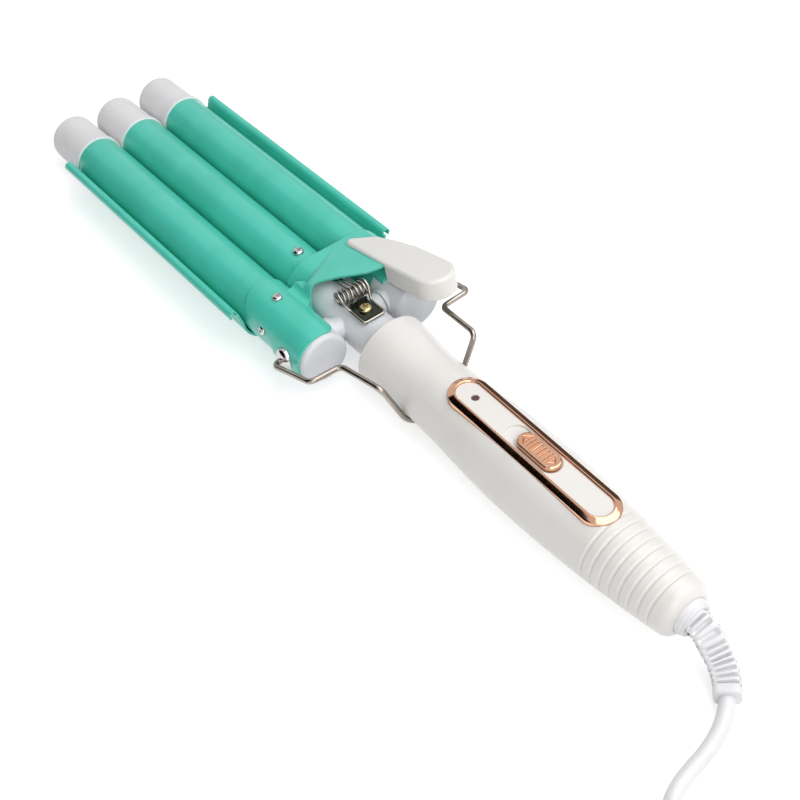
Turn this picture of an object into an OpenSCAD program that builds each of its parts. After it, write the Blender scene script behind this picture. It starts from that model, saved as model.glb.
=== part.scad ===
// Three-barrel hair waver: a fixed jaw (centre barrel and two gutter wings), a
// sprung moving jaw (two outer barrels on one bracket), a fold-out wire stand,
// and a round handle with a slide switch and a coiled mains lead.
//
// Tool frame: X runs from the tips to the cord, Y is across the barrels, Z is
// up, and the origin is on the centre barrel's axis at its cap joint. lay()
// turns that frame to the way the tool lies on a table, on its wings and belly.

/* [Barrels] */
// Outside diameter of each heated barrel
barrel_d = 22; // [19:0.5:27]
// Wall of each barrel tube
barrel_wall = 0.9; // [0.7:0.1:1.4]
// Free gap between neighbouring barrels
barrel_gap = 1.5; // [1.4:0.1:2]
// Barrel length that shows between the cap joint and the bracket
barrel_show = 134; // [100:1:165]
// Height of the outer barrels' axes above the centre barrel's axis
outer_rise = 0.4; // [0:0.1:1]
// Length of each insulating tip cap
cap_len = 27.5; // [18:0.5:36]
// Edge radius at the front of a tip cap
cap_edge = 3.2; // [2:0.1:4.5]

/* [Wings] */
// Free gap between an outer barrel and the gutter that wraps it
hair_gap = 0.8; // [0.6:0.1:1.6]
// How far behind the cap joint the wings start
wing_start = 0; // [0:0.5:6]
// Outer radius of the rolled lip along each wing
lip_r = 2; // [1.6:0.1:2.4]
// Height of the rolled lip's centre above the outer barrel's axis
lip_rise = 4.6; // [3:0.1:6]

/* [Bracket] */
// Thickness of the bracket and wing sheet
sheet = 1; // [0.8:0.1:1.4]
// Length of the bracket along the barrels
bracket_len = 41; // [36:1:48]
// Distance from the bracket's front edge back to the pivot axis
pivot_back = 32; // [29:0.5:34]
// Height of the pivot axis above the centre barrel's axis
pivot_rise = 0.7; // [0:0.1:2]
// Slope of the raised web that carries the thumb lever
web_slope = 10; // [9:0.1:10.5]

/* [Pivot] */
// Radius of the hollow journals on the neck
journal_r = 3.95; // [3.4:0.05:4.6]
// Radial running clearance of each journal in its socket
run_fit = 0.05; // [0.03:0.01:0.1]
// Radius of the neck's side bosses
boss_r = 5.5; // [5:0.1:6]
// Half the width across the neck's side bosses
boss_half = 11.7; // [11:0.1:12.5]
// Radius of the domed rivet head in each ear
rivet_r = 4.6; // [4:0.1:5.2]

/* [Stand] */
// Diameter of the stand's bent wire
stand_wire_d = 2.4; // [2:0.1:2.6]
// Length of the stand's folded legs, from the pivot to the cradle
stand_reach = 47; // [40:0.5:50]
// Bend radius of the stand's corners, at the wire's centre
stand_bend = 3; // [2.8:0.1:4]

/* [Thumb lever] */
// Length of the thumb lever
lever_len = 54; // [48:0.5:58]
// Radius of the lever's broad rear end
lever_rear_r = 8.8; // [8:0.1:9.5]
// Depth of the lever's skirt
lever_depth = 9; // [8:0.5:10]
// Wall of the lever's moulding
lever_wall = 1.6; // [1.2:0.1:2]

/* [Handle] */
// Distance from the pivot axis back to the handle's front rim
rim_back = 21.8; // [20:0.2:26]
// Length of the handle
handle_len = 160.8; // [140:1:190]
// Diameter at the handle's front rim
rim_d = 32.4; // [31:0.2:36]
// Diameter at the waist, where the stand's cradle folds
waist_d = 28.8; // [26:0.2:29.6]
// Distance from the rim to the waist
waist_at = 26; // [24:0.5:30]
// Diameter at the belly
belly_d = 33.6; // [31:0.2:38]
// Distance from the rim to the belly
belly_at = 80; // [66:1:90]
// Diameter of the tail before its rounded edge
tail_d = 22; // [20:0.2:26]
// Wall of the handle moulding
handle_wall = 2.2; // [1.6:0.1:2.6]
// Slope of the handle down from the line of the barrels
handle_droop = 2.4; // [1:0.1:4]
// Number of grip grooves round the tail
groove_count = 8; // [4:1:9]
// Spacing of the grip grooves
groove_pitch = 4.1; // [3.6:0.1:4.6]

/* [Control panel] */
// Length of the bright bezel round the panel
bezel_len = 84.5; // [72:0.5:92]
// Width of the bezel
bezel_w = 16.4; // [14:0.2:19]
// Width of the bezel's band
bezel_band = 2.5; // [2:0.1:3]
// Distance from the handle's rim to the bezel
bezel_at = 40; // [36:0.5:46]
// Length of the slide switch's button
button_len = 20; // [17:0.5:24]
// Width of the slide switch's button
button_w = 8.2; // [7:0.2:9.2]
// Travel of the slide switch
button_travel = 5.5; // [4:0.5:7]

/* [Cord] */
// Diameter of the mains lead
cord_d = 5.6; // [5:0.1:6]

/* [Hidden] */
$fn = 64;
// Radial fit of a pushed-in piece, air left where pieces rest, and free air round a loose piece
fit = 0.1;
seat = 0.02;
seat_gap = 0.3;
// How far a cut passes the wall it cuts, and the side of a block that cuts a whole region
over = 1;
block = 80;
teal = "#3fb59f";
cap_white = "#dedddc";
warm_white = "#e8e5df";
cool_white = "#cfd1d6";
steel = "#9a948c";
chrome = "#c8c8c8";
brass = "#b8995a";
rose_gold = "#d9a07c";
dark_steel = "#5a5f5c";
aluminium = "#b5b8ba";
ceramic = "#e9e4d8";
board_green = "#2f6b45";
dark_red = "#4a1015";
switch_black = "#2b2b2d";
cord_white = "#ecebea";

// Barrels and bracket
barrel_r = barrel_d / 2;
pitch = barrel_d + barrel_gap;
bracket_x = barrel_show;
bracket_end = bracket_x + bracket_len;
pivot_x = bracket_x + pivot_back;
plug_proud = 2.2;
plug_end = bracket_end + plug_proud;
tube_end = bracket_x + 24;
sleeve_fit = 0.05;
sleeve_in = barrel_r + sleeve_fit;
sleeve_out = sleeve_in + sheet;
// Handle: its axis starts below the barrels' axis, and its tail ends in a round edge
rim_x = pivot_x + rim_back;
axis_drop = 1.65;
rim_r = rim_d / 2;
waist_r = waist_d / 2;
belly_r = belly_d / 2;
tail_r = tail_d / 2;
tail_edge = 4.5;

function ease(a, b, t) = a + (b - a) * (1 - cos(180 * t)) / 2;
function handle_r(s) = s < waist_at ? ease(rim_r, waist_r, s / waist_at)
    : s < belly_at ? ease(waist_r, belly_r, (s - waist_at) / (belly_at - waist_at))
    : belly_r - (belly_r - tail_r) * pow((s - belly_at) / (handle_len - belly_at), 2);
function along_handle(s, h) = [rim_x + s * cos(handle_droop) + h * sin(handle_droop), 0,
    -axis_drop - s * sin(handle_droop) + h * cos(handle_droop)];

// How the tool lies: on the wings' front corners and on the handle's belly
wing_depth = barrel_r + hair_gap + sheet - outer_rise;
belly_step = 2;
belly_steps = [for (s = [0 : belly_step : handle_len]) along_handle(s, -handle_r(s))];
lay_tilt = max([for (p = belly_steps) atan((-wing_depth - p.z) / (p.x - wing_start))]);
lay_lift = wing_depth * cos(lay_tilt) - wing_start * sin(lay_tilt);
function turned(p) = [p.x * cos(lay_tilt) - p.z * sin(lay_tilt), p.y,
    p.x * sin(lay_tilt) + p.z * cos(lay_tilt) + lay_lift];
collar_out = 3.4;
front_x = turned([-cap_len, 0, barrel_r - cap_edge]).x;
tail_x = turned(along_handle(handle_len, tail_r - tail_edge)).x;
mid_x = (front_x + tail_x) / 2;
function placed(p) = turned(p) - [mid_x, 0, 0];

module lay() translate([-mid_x, 0, lay_lift]) rotate([0, -lay_tilt, 0]) children();
module on_handle(s = 0) translate(along_handle(s, 0)) rotate([0, handle_droop, 0]) children();
module mirrored(side) scale([1, side, 1]) children();
module along_x(x0, x1, r) translate([x0, 0, 0]) rotate([0, 90, 0]) cylinder(h = x1 - x0, r = r);
module along_y(y0, y1, r) translate([0, y0, 0]) rotate([-90, 0, 0]) cylinder(h = y1 - y0, r = r);
module at_pivot() translate([pivot_x, 0, pivot_rise]) children();
module at_outer(side) translate([0, side * pitch, outer_rise]) children();

// Sweeps: a bent wire as straight rods and true bends
function unit(v) = v / norm(v);
function turn(a, b, c) = acos(unit(b - a) * unit(c - b));
function setback(a, b, c, r) = r * tan(turn(a, b, c) / 2);
function arc_points(a, b, c, r, n) = let (u = unit(b - a), w = unit(c - b), e = unit(w - u * (u * w)),
    o = b - u * setback(a, b, c, r) + e * r) [for (i = [0 : n]) let (t = turn(a, b, c) * i / n)
    o - e * (r * cos(t)) + u * (r * sin(t))];
function bent(pts, bends, steps) = concat([pts[0]], [for (i = [1 : len(pts) - 2])
    each arc_points(pts[i - 1], pts[i], pts[i + 1], bends[i], steps[i])], [pts[len(pts) - 1]]);

// Pan-head cross screw, standing along +Z with its seat at z = 0. The head's
// shape is given in shares of its own radius and height
head_rim = 0.35;
head_flat = 0.45;
recess_reach = 0.55;
recess_half = 0.13;
recess_floor = 0.45;
arc_step = 18;
module cross_screw(head_r, head_h, shank_r, shank_len) {
    difference() {
        union() {
            rotate_extrude() polygon([[0, 0], [head_r, 0], [head_r, head_h * head_rim],
                for (a = [0 : arc_step : 90]) [head_r * (head_flat + (1 - head_flat) * cos(a)),
                    head_h * (head_rim + (1 - head_rim) * sin(a))], [0, head_h]]);
            translate([0, 0, -shank_len]) cylinder(h = shank_len + head_h * head_rim / 2, r = shank_r);
        }
        for (a = [0, 90]) rotate([0, 0, a])
            translate([-head_r * recess_reach, -head_r * recess_half, head_h * recess_floor])
                cube([2 * head_r * recess_reach, 2 * head_r * recess_half, head_h]);
    }
}

// --- Barrels -------------------------------------------------------------
// Tip cap: a rounded front, a slight taper, a raised rim, and a spigot in the tube
cap_rim = 2.6;
cap_rim_out = 0.6;
cap_rim_edge = 0.4;
cap_ramp = 0.8;
cap_inset = 0.3;
cap_wall = 3;
spigot_wall = 2;
spigot_len = 12;
spigot_r = barrel_r - barrel_wall - fit;
module tip_cap() color(cap_white) difference() {
    rotate([0, 90, 0]) rotate_extrude() polygon([
        [0, -cap_len],
        for (a = [0 : 15 : 90]) [barrel_r - cap_inset - cap_edge + cap_edge * sin(a),
            -cap_len + cap_edge - cap_edge * cos(a)],
        [barrel_r - fit, -cap_rim - cap_ramp],
        [barrel_r + cap_rim_out, -cap_rim],
        [barrel_r + cap_rim_out, -cap_rim_edge],
        [barrel_r + fit, 0],
        [spigot_r, 0],
        [spigot_r, spigot_len],
        [0, spigot_len]]);
    along_x(-cap_len + cap_wall, spigot_len + over, spigot_r - spigot_wall + fit);
}
module barrel_tube(x1) color(teal) difference() {
    along_x(0, x1, barrel_r);
    along_x(-over, x1 + over, barrel_r - barrel_wall);
}
// Heater: two half-round aluminium blocks with a ceramic plate pinched between them
heater_x0 = 20;
heater_len = 88;
heater_gap = 3.2;
ceramic_w = 12;
ceramic_inset = 3;
ceramic_fit = 0.05;
module heater() {
    color(aluminium) for (side = [-1, 1]) intersection() {
        along_x(heater_x0, heater_x0 + heater_len, spigot_r);
        translate([heater_x0, -spigot_r, side > 0 ? heater_gap / 2 : -spigot_r])
            cube([heater_len, 2 * spigot_r, spigot_r - heater_gap / 2]);
    }
    color(ceramic) translate([heater_x0 + ceramic_inset, -ceramic_w / 2, -heater_gap / 2 + ceramic_fit])
        cube([heater_len - 2 * ceramic_inset, ceramic_w, heater_gap - 2 * ceramic_fit]);
}
// Screws: the centre barrel's own, and two in each tab, on top and low on the side
centre_end = bracket_x + 12;
centre_screw_x = bracket_x - 6.3;
screw_shank_r = 1.3;
centre_head = [2.25, 1.5];
centre_screw_len = 4.5;
tab_head = [2.1, 1.3];
tab_screw_len = 3.4;
side_head = [1.9, 1.1];
side_screw_len = 2.4;
tab_screw_x = bracket_x + 12.6;
side_screw_x = bracket_x + 15.4;
side_screw_up = 16;
module centre_screw_hole(r) translate([centre_screw_x, 0, 0]) cylinder(h = barrel_r + over, r = r);
module centre_barrel() lay() difference() {
    barrel_tube(centre_end);
    color(teal) centre_screw_hole(screw_shank_r + fit);
}
module centre_cap() lay() tip_cap();
module centre_heater() lay() heater();
module centre_screw() lay() color(chrome) translate([centre_screw_x, 0, barrel_r + seat])
    cross_screw(centre_head[0], centre_head[1], screw_shank_r, centre_screw_len);

// --- Wings: one sheet, saddled under the centre barrel, guttered round the others
gutter_in = barrel_r + hair_gap;
gutter_out = gutter_in + sheet;
wing_end = barrel_show + 2;
wing_tail = 1.5;
saddle_in = barrel_r + sleeve_fit;
cusp_drop = 2;
lip_out = 1.6;
lip_y = pitch + gutter_in + lip_r + lip_out;
lip_wall = 0.75 * sheet;
lip_open = -150;
wall_root = 0.2;
module wing_profile() {
    // saddle below the centre barrel
    difference() {
        circle(r = saddle_in + sheet);
        circle(r = saddle_in);
        translate([-block / 2, -cusp_drop]) square(block);
    }
    for (side = [-1, 1]) scale([side, 1]) {
        // gutter, up to the valley between the barrels and to the outer wall
        difference() {
            translate([pitch, outer_rise]) circle(r = gutter_out);
            translate([pitch, outer_rise]) circle(r = gutter_in);
            translate([0, -cusp_drop]) square([pitch, block]);
            translate([0, outer_rise]) square(block);
        }
        // upright wall
        polygon([[pitch + gutter_in, outer_rise - wall_root], [pitch + gutter_out, outer_rise - wall_root],
            [lip_y - lip_r + sheet, outer_rise + lip_rise], [lip_y - lip_r, outer_rise + lip_rise]]);
    }
}
module lip_profile() for (side = [-1, 1]) scale([side, 1])
    translate([lip_y, outer_rise + lip_rise]) difference() {
        circle(r = lip_r);
        circle(r = lip_r - lip_wall);
        rotate(lip_open) square(3 * lip_r);
    }
module wing_plate() lay() color(teal) translate([wing_start, 0, 0]) rotate([90, 0, 90]) {
    linear_extrude(wing_end + wing_tail - wing_start) wing_profile();
    linear_extrude(wing_end - wing_start) lip_profile();
}

// --- Neck, spring and clamp ----------------------------------------------
neck_r = 9.7;
neck_root_r = barrel_r + 0.4;
neck_in = 14;
neck_spigot = 16;
neck_blend = 9;
neck_step_x = pivot_x - 6;
wire_way_r = 4;
journal_reach = 5;
journal_bore_r = 2.3;
// Flat for the clamp plate, and the plate with its turned-up front edge
pad_top = neck_r - 0.5;
pad_x0 = pivot_x - 6;
pad_x1 = pivot_x + 14.5;
pad_w = 18;
plate_z = pad_top + 0.05;
plate_x = pivot_x + 7.3;
plate_len = 10.4;
plate_w = 8.4;
plate_t = 1;
plate_edge_h = 1.6;
clamp_head = [2.7, 1.6];
clamp_shank_r = 1.15;
clamp_screw_len = 6;
spring_wire_r = 0.6;
spring_r = 2.9;
spring_pitch = 1.85;
spring_turns = 3;
spring_x = pivot_x - 1.4;
spring_rest = 0.15;
spring_z = pad_top + spring_rest + spring_r + spring_wire_r;
module neck() lay() color(cool_white) difference() {
    union() {
        // spigot in the barrel, body, and root in the handle
        rotate([0, 90, 0]) rotate_extrude() polygon([[0, bracket_x - neck_spigot],
            [spigot_r, bracket_x - neck_spigot],
            [spigot_r, centre_end],
            [neck_root_r, centre_end + fit],
            [neck_root_r, neck_step_x],
            for (a = [0 : 30 : 180]) [neck_root_r - (neck_root_r - neck_r) * (1 - cos(a)) / 2,
                neck_step_x + neck_blend * a / 180],
            [neck_r, rim_x + neck_in], [0, rim_x + neck_in]]);
        at_pivot() along_y(-boss_half, boss_half, boss_r);
        at_pivot() along_y(-boss_half - journal_reach, boss_half + journal_reach, journal_r);
    }
    // flat for the clamp plate
    translate([pad_x0, -pad_w / 2, pad_top]) cube([pad_x1 - pad_x0, pad_w, neck_r]);
    // wire way through the neck and both journals
    along_x(bracket_x - neck_spigot - over, rim_x + neck_in + over, wire_way_r);
    at_pivot() along_y(-boss_half - journal_reach - over, boss_half + journal_reach + over, journal_bore_r);
    centre_screw_hole(screw_shank_r);
    translate([plate_x, 0, 0]) cylinder(h = neck_r, r = clamp_shank_r + fit / 2);
}
module clamp_plate() lay() color(dark_steel) translate([plate_x, 0, plate_z]) difference() {
    translate([-plate_len / 2, -plate_w / 2, 0]) union() {
        cube([plate_len, plate_w, plate_t]);
        translate([0, 0, plate_t / 2]) cube([plate_t, plate_w, plate_edge_h]);
    }
    translate([0, 0, -over]) cylinder(h = plate_t + 2 * over, r = clamp_shank_r + fit);
}
module clamp_screw() lay() color(brass) translate([plate_x, 0, plate_z + plate_t + 2 * seat])
    cross_screw(clamp_head[0], clamp_head[1], clamp_shank_r, clamp_screw_len);

// Double torsion spring: leg, coil, loop round the clamp plate, coil, leg
coil_in = 1;
coil_out = coil_in + spring_pitch * spring_turns;
loop_x = plate_x + plate_len / 2 + spring_wire_r + seat_gap;
loop_y = plate_w / 2 + spring_wire_r + seat_gap;
loop_z = plate_z + spring_wire_r;
loop_turn = 1.4;
leg_tip_x = bracket_x + 17;
// Where a leg leaves its coil, as steps from the coil's axis or the plate's middle
leg_bends = [[leg_tip_x, spring_z + 0.2], [leg_tip_x + 4, spring_z + 0.9],
    [spring_x - 3.8, spring_z + 1.8]];
tail_bends = [[spring_x + 2.4, coil_out, spring_z + 0.4 * spring_r],
    [plate_x - 4.7, (coil_out + loop_y) / 2, plate_z + 2.4], [plate_x - 2.3, loop_y, loop_z + 0.1]];
coil_sides = 8;
function coil_point(k, side) = let (a = 90 + 360 * spring_turns * k)
    [spring_x - spring_r * cos(a), side * (coil_in + (coil_out - coil_in) * k),
    spring_z + spring_r * sin(a)];
function half_spring(side) = [
    for (p = leg_bends) [p.x, side * coil_in, p.y],
    for (i = [0 : coil_sides * spring_turns]) coil_point(i / (coil_sides * spring_turns), side),
    for (p = tail_bends) [p.x, side * p.y, p.z],
    [loop_x - loop_turn, side * loop_y, loop_z],
    [loop_x - 0.4, side * (loop_y - 0.4), loop_z],
    [loop_x, side * (loop_y - loop_turn), loop_z]];
function flip(v) = [for (i = [len(v) - 1 : -1 : 0]) v[i]];
spring_path = concat(half_spring(-1), flip(half_spring(1)));

// A tube swept along points, its section kept square to the path
function heading(p, i) = unit(p[min(i + 1, len(p) - 1)] - p[max(i - 1, 0)]);
function drag(v, t) = unit(v - t * (v * t));
function frames(p, i, v, out) = i == len(p) ? out
    : let (w = drag(v, heading(p, i))) frames(p, i + 1, w, concat(out, [w]));
module tube(p, r, sides, first = [0, 1, 0.01]) {
    ups = frames(p, 0, drag(first, heading(p, 0)), []);
    last = len(p) - 1;
    points = [for (i = [0 : last]) let (t = heading(p, i), u = ups[i], v = cross(t, u),
        w = is_list(r) ? r[i] : r) for (k = [0 : sides - 1])
        p[i] + w * (u * cos(360 * k / sides) + v * sin(360 * k / sides))];
    walls = [for (i = [0 : last - 1]) for (k = [0 : sides - 1])
        let (a = i * sides + k, b = i * sides + (k + 1) % sides)
        each [[a, a + sides, b], [b, a + sides, b + sides]]];
    ends = [[for (k = [0 : sides - 1]) k], [for (k = [sides - 1 : -1 : 0]) last * sides + k]];
    polyhedron(points, concat(walls, ends));
}
// Least gap of the spring to itself, beyond points near along the wire
function least_gap(p, r, skip) = min([for (i = [0 : len(p) - 1])
    for (j = [i + skip : len(p) - 1]) norm(p[i] - p[j])]) - 2 * r;
echo(spring_least_gap = least_gap(spring_path, spring_wire_r, 7));
module torsion_spring() lay() color(steel) tube(spring_path, spring_wire_r, 6);

// --- Moving jaw ------------------------------------------------------------
socket_r = boss_r + 0.8;
socket_len = 5.4;
socket_gap = 0.25;
shank_r = 2.6;
shank_from = 4;
wire_r = stand_wire_d / 2;
module outer_tube(side) difference() {
    at_outer(side) barrel_tube(tube_end);
    color(teal) jaw_holes(side, screw_shank_r + fit);
    // way for the socket boss on the inner side
    color(teal) mirrored(side) at_pivot() along_y(0, pitch - over, socket_r + fit);
}
module jaw_holes(side, r) mirrored(side) {
    translate([tab_screw_x, pitch, outer_rise]) cylinder(h = barrel_r + 3 * over, r = r);
    translate([side_screw_x, pitch, outer_rise]) rotate([side_screw_up - 90, 0, 0])
        cylinder(h = barrel_r + 3 * over, r = r);
    at_pivot() along_y(pitch + shank_from, pitch + barrel_r + 5 * over, shank_r + fit);
}
module left_barrel() lay() outer_tube(-1);
module right_barrel() lay() outer_tube(1);
module left_cap() lay() at_outer(-1) tip_cap();
module right_cap() lay() at_outer(1) tip_cap();
module left_heater() lay() at_outer(-1) heater();
module right_heater() lay() at_outer(1) heater();
// End plug: closes the tube, and carries the socket that turns on the neck's journal
plug_x0 = bracket_x + 5;
plug_lip = 0.3;
plug_edge = 2;
plug_way_r = 4;
module end_plug(side) color(cool_white) difference() {
    union() {
        at_outer(side) rotate([0, 90, 0]) rotate_extrude() polygon([[0, plug_x0],
            [spigot_r, plug_x0], [spigot_r, tube_end + fit],
            [barrel_r, tube_end + fit], [barrel_r, bracket_end + plug_lip],
            for (a = [0 : 22.5 : 90]) [barrel_r - plug_edge + plug_edge * cos(a),
                bracket_end + plug_lip + (plug_proud - plug_lip) * sin(a)],
            [0, plug_end]]);
        mirrored(side) at_pivot() along_y(boss_half + socket_gap, pitch, socket_r);
    }
    mirrored(side) at_pivot() along_y(0, boss_half + socket_gap + socket_len, journal_r + run_fit);
    mirrored(side) at_pivot() along_y(0, pitch, journal_bore_r);
    at_outer(side) along_x(plug_x0 - over, pivot_x + plug_way_r, plug_way_r);
    jaw_holes(side, screw_shank_r);
}
module left_end_plug() lay() end_plug(-1);
module right_end_plug() lay() end_plug(1);

// Bracket: a sleeve tab on each barrel, an arch over the centre barrel, and a
// raised web that runs up under the lever
arch_in = barrel_r + 0.5;
arch_from = bracket_x + 0.5;
arch_len = 11.5;
bridge_z = 4;
tab_corner = 9.5;
tab_rear_r = 5;
tab_in = 8;
tab_edge_y = pitch - tab_in;
tab_low = 5.1;
ear_low = 4.9;
ear_x = pivot_x - 8.3;
waist_x = bracket_x + 22;
heel_x = bracket_x + 30.4;
web_left = -12.9;
web_right = pitch;
web_shoulder = 5;
web_front = bracket_x + 1;
web_top = sleeve_out + outer_rise;
web_low = 3.4;
crease_turn = 31.5;
crease_at = [bracket_x + 2.6, 5.6];
valley_r = 3.5;
module in_web() translate([web_front, 0, web_top]) rotate([0, -web_slope, 0]) children();
// A plate's section with its left shoulder rounded, its top along y = 0
module shoulder_section(inset) {
    r = web_shoulder - inset;
    translate([inset + r, -inset - r]) circle(r = r);
    translate([inset, -block]) square([block, block - inset - r]);
    translate([inset + r, -block]) square([block, block - inset]);
}
module web_solid(inset) intersection() {
    in_web() translate([-bracket_len / 2, 0, 0]) rotate([90, 0, 90]) linear_extrude(2 * bracket_len)
        translate([web_left, 0]) shoulder_section(inset);
    in_web() translate([crease_at.x - web_front, crease_at.y, 0]) rotate([0, 0, crease_turn])
        translate([0, block / 2, 0]) rotate([90, 0, 0]) linear_extrude(block) shoulder_section(inset);
}
// Where the web's left wall curves out onto the left sleeve
valley_a = [-pitch, outer_rise];
valley_up = 2.6;
valley_b = [web_left + web_shoulder, web_top + valley_up - web_shoulder];
valley_ra = sleeve_out + valley_r;
valley_rb = web_shoulder + valley_r;
valley_d = norm(valley_b - valley_a);
valley_s = (valley_ra * valley_ra - valley_rb * valley_rb + valley_d * valley_d) / (2 * valley_d);
valley_h = sqrt(valley_ra * valley_ra - valley_s * valley_s);
valley_u = (valley_b - valley_a) / valley_d;
valley_p = valley_a + valley_u * valley_s + [-valley_u.y, valley_u.x] * valley_h;
valley_from = 8;
valley_len = 16;
module valley() translate([web_front + valley_from, 0, 0]) rotate([90, 0, 90])
    linear_extrude(valley_len) difference() {
    polygon([valley_p, valley_a, valley_b]);
    translate(valley_p) circle(r = valley_r);
}
// Plan outlines, in tool X and Y
module tab_plan(side) mirrored(side) difference() {
    union() {
        translate([bracket_x + tab_corner, 0])
            square([bracket_len - tab_corner, pitch + sleeve_out + over]);
        translate([bracket_x, 0]) square([tab_corner + over, pitch + sleeve_out - tab_corner]);
        translate([bracket_x + tab_corner, pitch + sleeve_out - tab_corner]) circle(r = tab_corner);
    }
    translate([bracket_x - over, -block + tab_edge_y - tab_in]) square([block, block]);
    // inner edge behind the web, with its rounded rear corner
    translate([waist_x, -block + tab_edge_y]) square([block, block]);
    if (side > 0) translate([heel_x - 0.4, -block + tab_edge_y + tab_rear_r]) square([block, block]);
    translate([bracket_end - tab_rear_r, tab_edge_y - over]) difference() {
        square([tab_rear_r + over, tab_rear_r + over]);
        translate([0, tab_rear_r + over]) circle(r = tab_rear_r);
    }
}
// The web's rear edge sweeps from the left tab round the opening to the lever
web_edge = [[22, web_left - 7], [22, web_left - 2.5], [19.3, web_left + 0.7], [18, web_left + 4],
    [19.4, -4.8], [22.5, 0.2], [26.2, 5.2], [29, 9.8]];
module web_plan() polygon([[bracket_x, web_left - 7],
    for (p = web_edge) [bracket_x + p.x, p.y],
    [heel_x, tab_edge_y], [heel_x, web_right], [bracket_x, web_right]]);
module sleeve(side) difference() {
    at_outer(side) along_x(bracket_x, bracket_end, sleeve_out);
    // nothing below the tab's edge in front of the ear, nor below the ear
    mirrored(side) translate([bracket_x - over, 0, outer_rise + tab_low - block])
        cube([ear_x - bracket_x + over, block, block]);
    mirrored(side) translate([bracket_x - over, 0, -ear_low - block]) cube(block);
    mirrored(side) translate([bracket_x - over, 0, web_low - block]) cube([block, pitch, block]);
}
module jaw_bracket() lay() color(teal) difference() {
    union() {
        for (side = [-1, 1]) intersection() {
            sleeve(side);
            translate([0, 0, -block / 2]) linear_extrude(block) tab_plan(side);
        }
        intersection() {
            union() {
                // band hugging the centre barrel, bridged to the right sleeve
                along_x(arch_from, arch_from + arch_len, arch_in + sheet);
                translate([arch_from, 0, bridge_z]) cube([arch_len, pitch, arch_in + sheet - bridge_z]);
                web_solid(0);
                valley();
            }
            translate([0, 0, web_low]) linear_extrude(block) web_plan();
        }
    }
    for (side = [-1, 1]) at_outer(side) along_x(bracket_x - over, bracket_end + over, sleeve_in);
    for (side = [-1, 1]) jaw_holes(side, screw_shank_r + fit);
    // way for the right top screw's head
    translate([tab_screw_x, pitch, outer_rise + sleeve_out])
        cylinder(h = web_shoulder, r = tab_head[0] + seat_gap);
    difference() {
        union() {
            along_x(bracket_x - over, waist_x, arch_in);
            translate([bracket_x - over, 0, arch_in - block]) cube([block, pitch, block]);
            intersection() {
                web_solid(sheet);
                translate([bracket_x, -block / 2, -block / 2]) cube(block);
            }
        }
        // the sleeves stay whole where the web's hollow meets them
        for (side = [-1, 1]) intersection() {
            at_outer(side) along_x(bracket_x - 2 * over, bracket_end + 2 * over, sleeve_out);
            mirrored(side) translate([bracket_x - 2 * over, tab_edge_y, -block / 2]) cube(block);
        }
    }
}
module jaw_screws() lay() color(chrome) for (side = [-1, 1]) mirrored(side) {
    translate([tab_screw_x, pitch, outer_rise + sleeve_out + seat])
        cross_screw(tab_head[0], tab_head[1], screw_shank_r, tab_screw_len);
    translate([side_screw_x, pitch, outer_rise]) rotate([side_screw_up - 90, 0, 0])
        translate([0, 0, barrel_r + seat])
            cross_screw(side_head[0], side_head[1], screw_shank_r, side_screw_len);
}
rivet_skirt = 1.6;
rivet_rim = 1.7;
rivet_dome = 2.1;
rivet_neck = 1.5;
module rivet(side) color(chrome) mirrored(side) at_pivot() difference() {
    union() {
        difference() {
            translate([0, pitch + sleeve_out - rivet_skirt, 0]) rotate([-90, 0, 0]) rotate_extrude()
                polygon([[0, 0], [rivet_r, 0], [rivet_r, rivet_rim],
                    for (a = [10 : 16 : 90]) [rivet_r * cos(a), rivet_rim + rivet_dome * sin(a)],
                    [0, rivet_rim + rivet_dome]]);
            translate([0, pitch, outer_rise - pivot_rise])
                along_x(-rivet_r - over, rivet_r + over, sleeve_out + seat);
        }
        along_y(pitch + shank_from + 2, pitch + sleeve_out + rivet_neck, shank_r);
    }
    along_y(pitch + shank_from + over, pitch + barrel_r + 3 * rivet_rim + shank_from, wire_r + run_fit);
}
module left_rivet() lay() rivet(-1);
module right_rivet() lay() rivet(1);

// Thumb lever: teardrop in plan, sloped like the web, hollow underneath
lever_x = bracket_x + 4.4;
lever_top = 14.9;
lever_slope = 8.5;
lever_share = lever_len / 54;
// Circles that the lever's outline wraps: distance back, across, radius
lever_rounds = [[2.2, pitch - 5.3, 2.2], [10.8, pitch - 1.3, 5.9], [18.4, pitch + 0.2, 7.4],
    [28, pitch + 1.7, 8.5], [(lever_len - lever_rear_r) / lever_share, pitch + 3.2, lever_rear_r]];
lever_sides = 32;
lever_tip_wall = 1.9;
module lever_plan(inset) hull() for (c = lever_rounds)
    translate([c[0] * lever_share, c[1]]) circle(r = c[2] - inset, $fn = lever_sides);
module in_lever() translate([lever_x, 0, lever_top]) rotate([0, -lever_slope, 0]) children();
lever_edge = 1.5;
module lever_body() hull() for (c = lever_rounds) translate([c[0] * lever_share, c[1], -lever_depth])
    rotate_extrude($fn = lever_sides) polygon(concat([[0, 0], [c[2], 0]],
        [for (a = [0 : arc_step : 90])
            [c[2] - lever_edge * (1 - cos(a)), lever_depth - lever_edge * (1 - sin(a))]],
        [[0, lever_depth]]));
module thumb_lever() lay() color(warm_white) difference() {
    in_lever() lever_body();
    in_lever() translate([0, 0, -lever_depth - over]) linear_extrude(lever_depth + over - lever_wall)
        lever_plan(min(lever_wall, lever_tip_wall));
    at_outer(1) along_x(bracket_x - over, rim_x + block / 4, sleeve_out + fit);
    // seat over the web and the right tab
    in_web() translate([-over, -block / 2, fit - block])
        cube([(heel_x + 2 * fit - web_front) / cos(web_slope) + over, block, block]);
}

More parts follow.
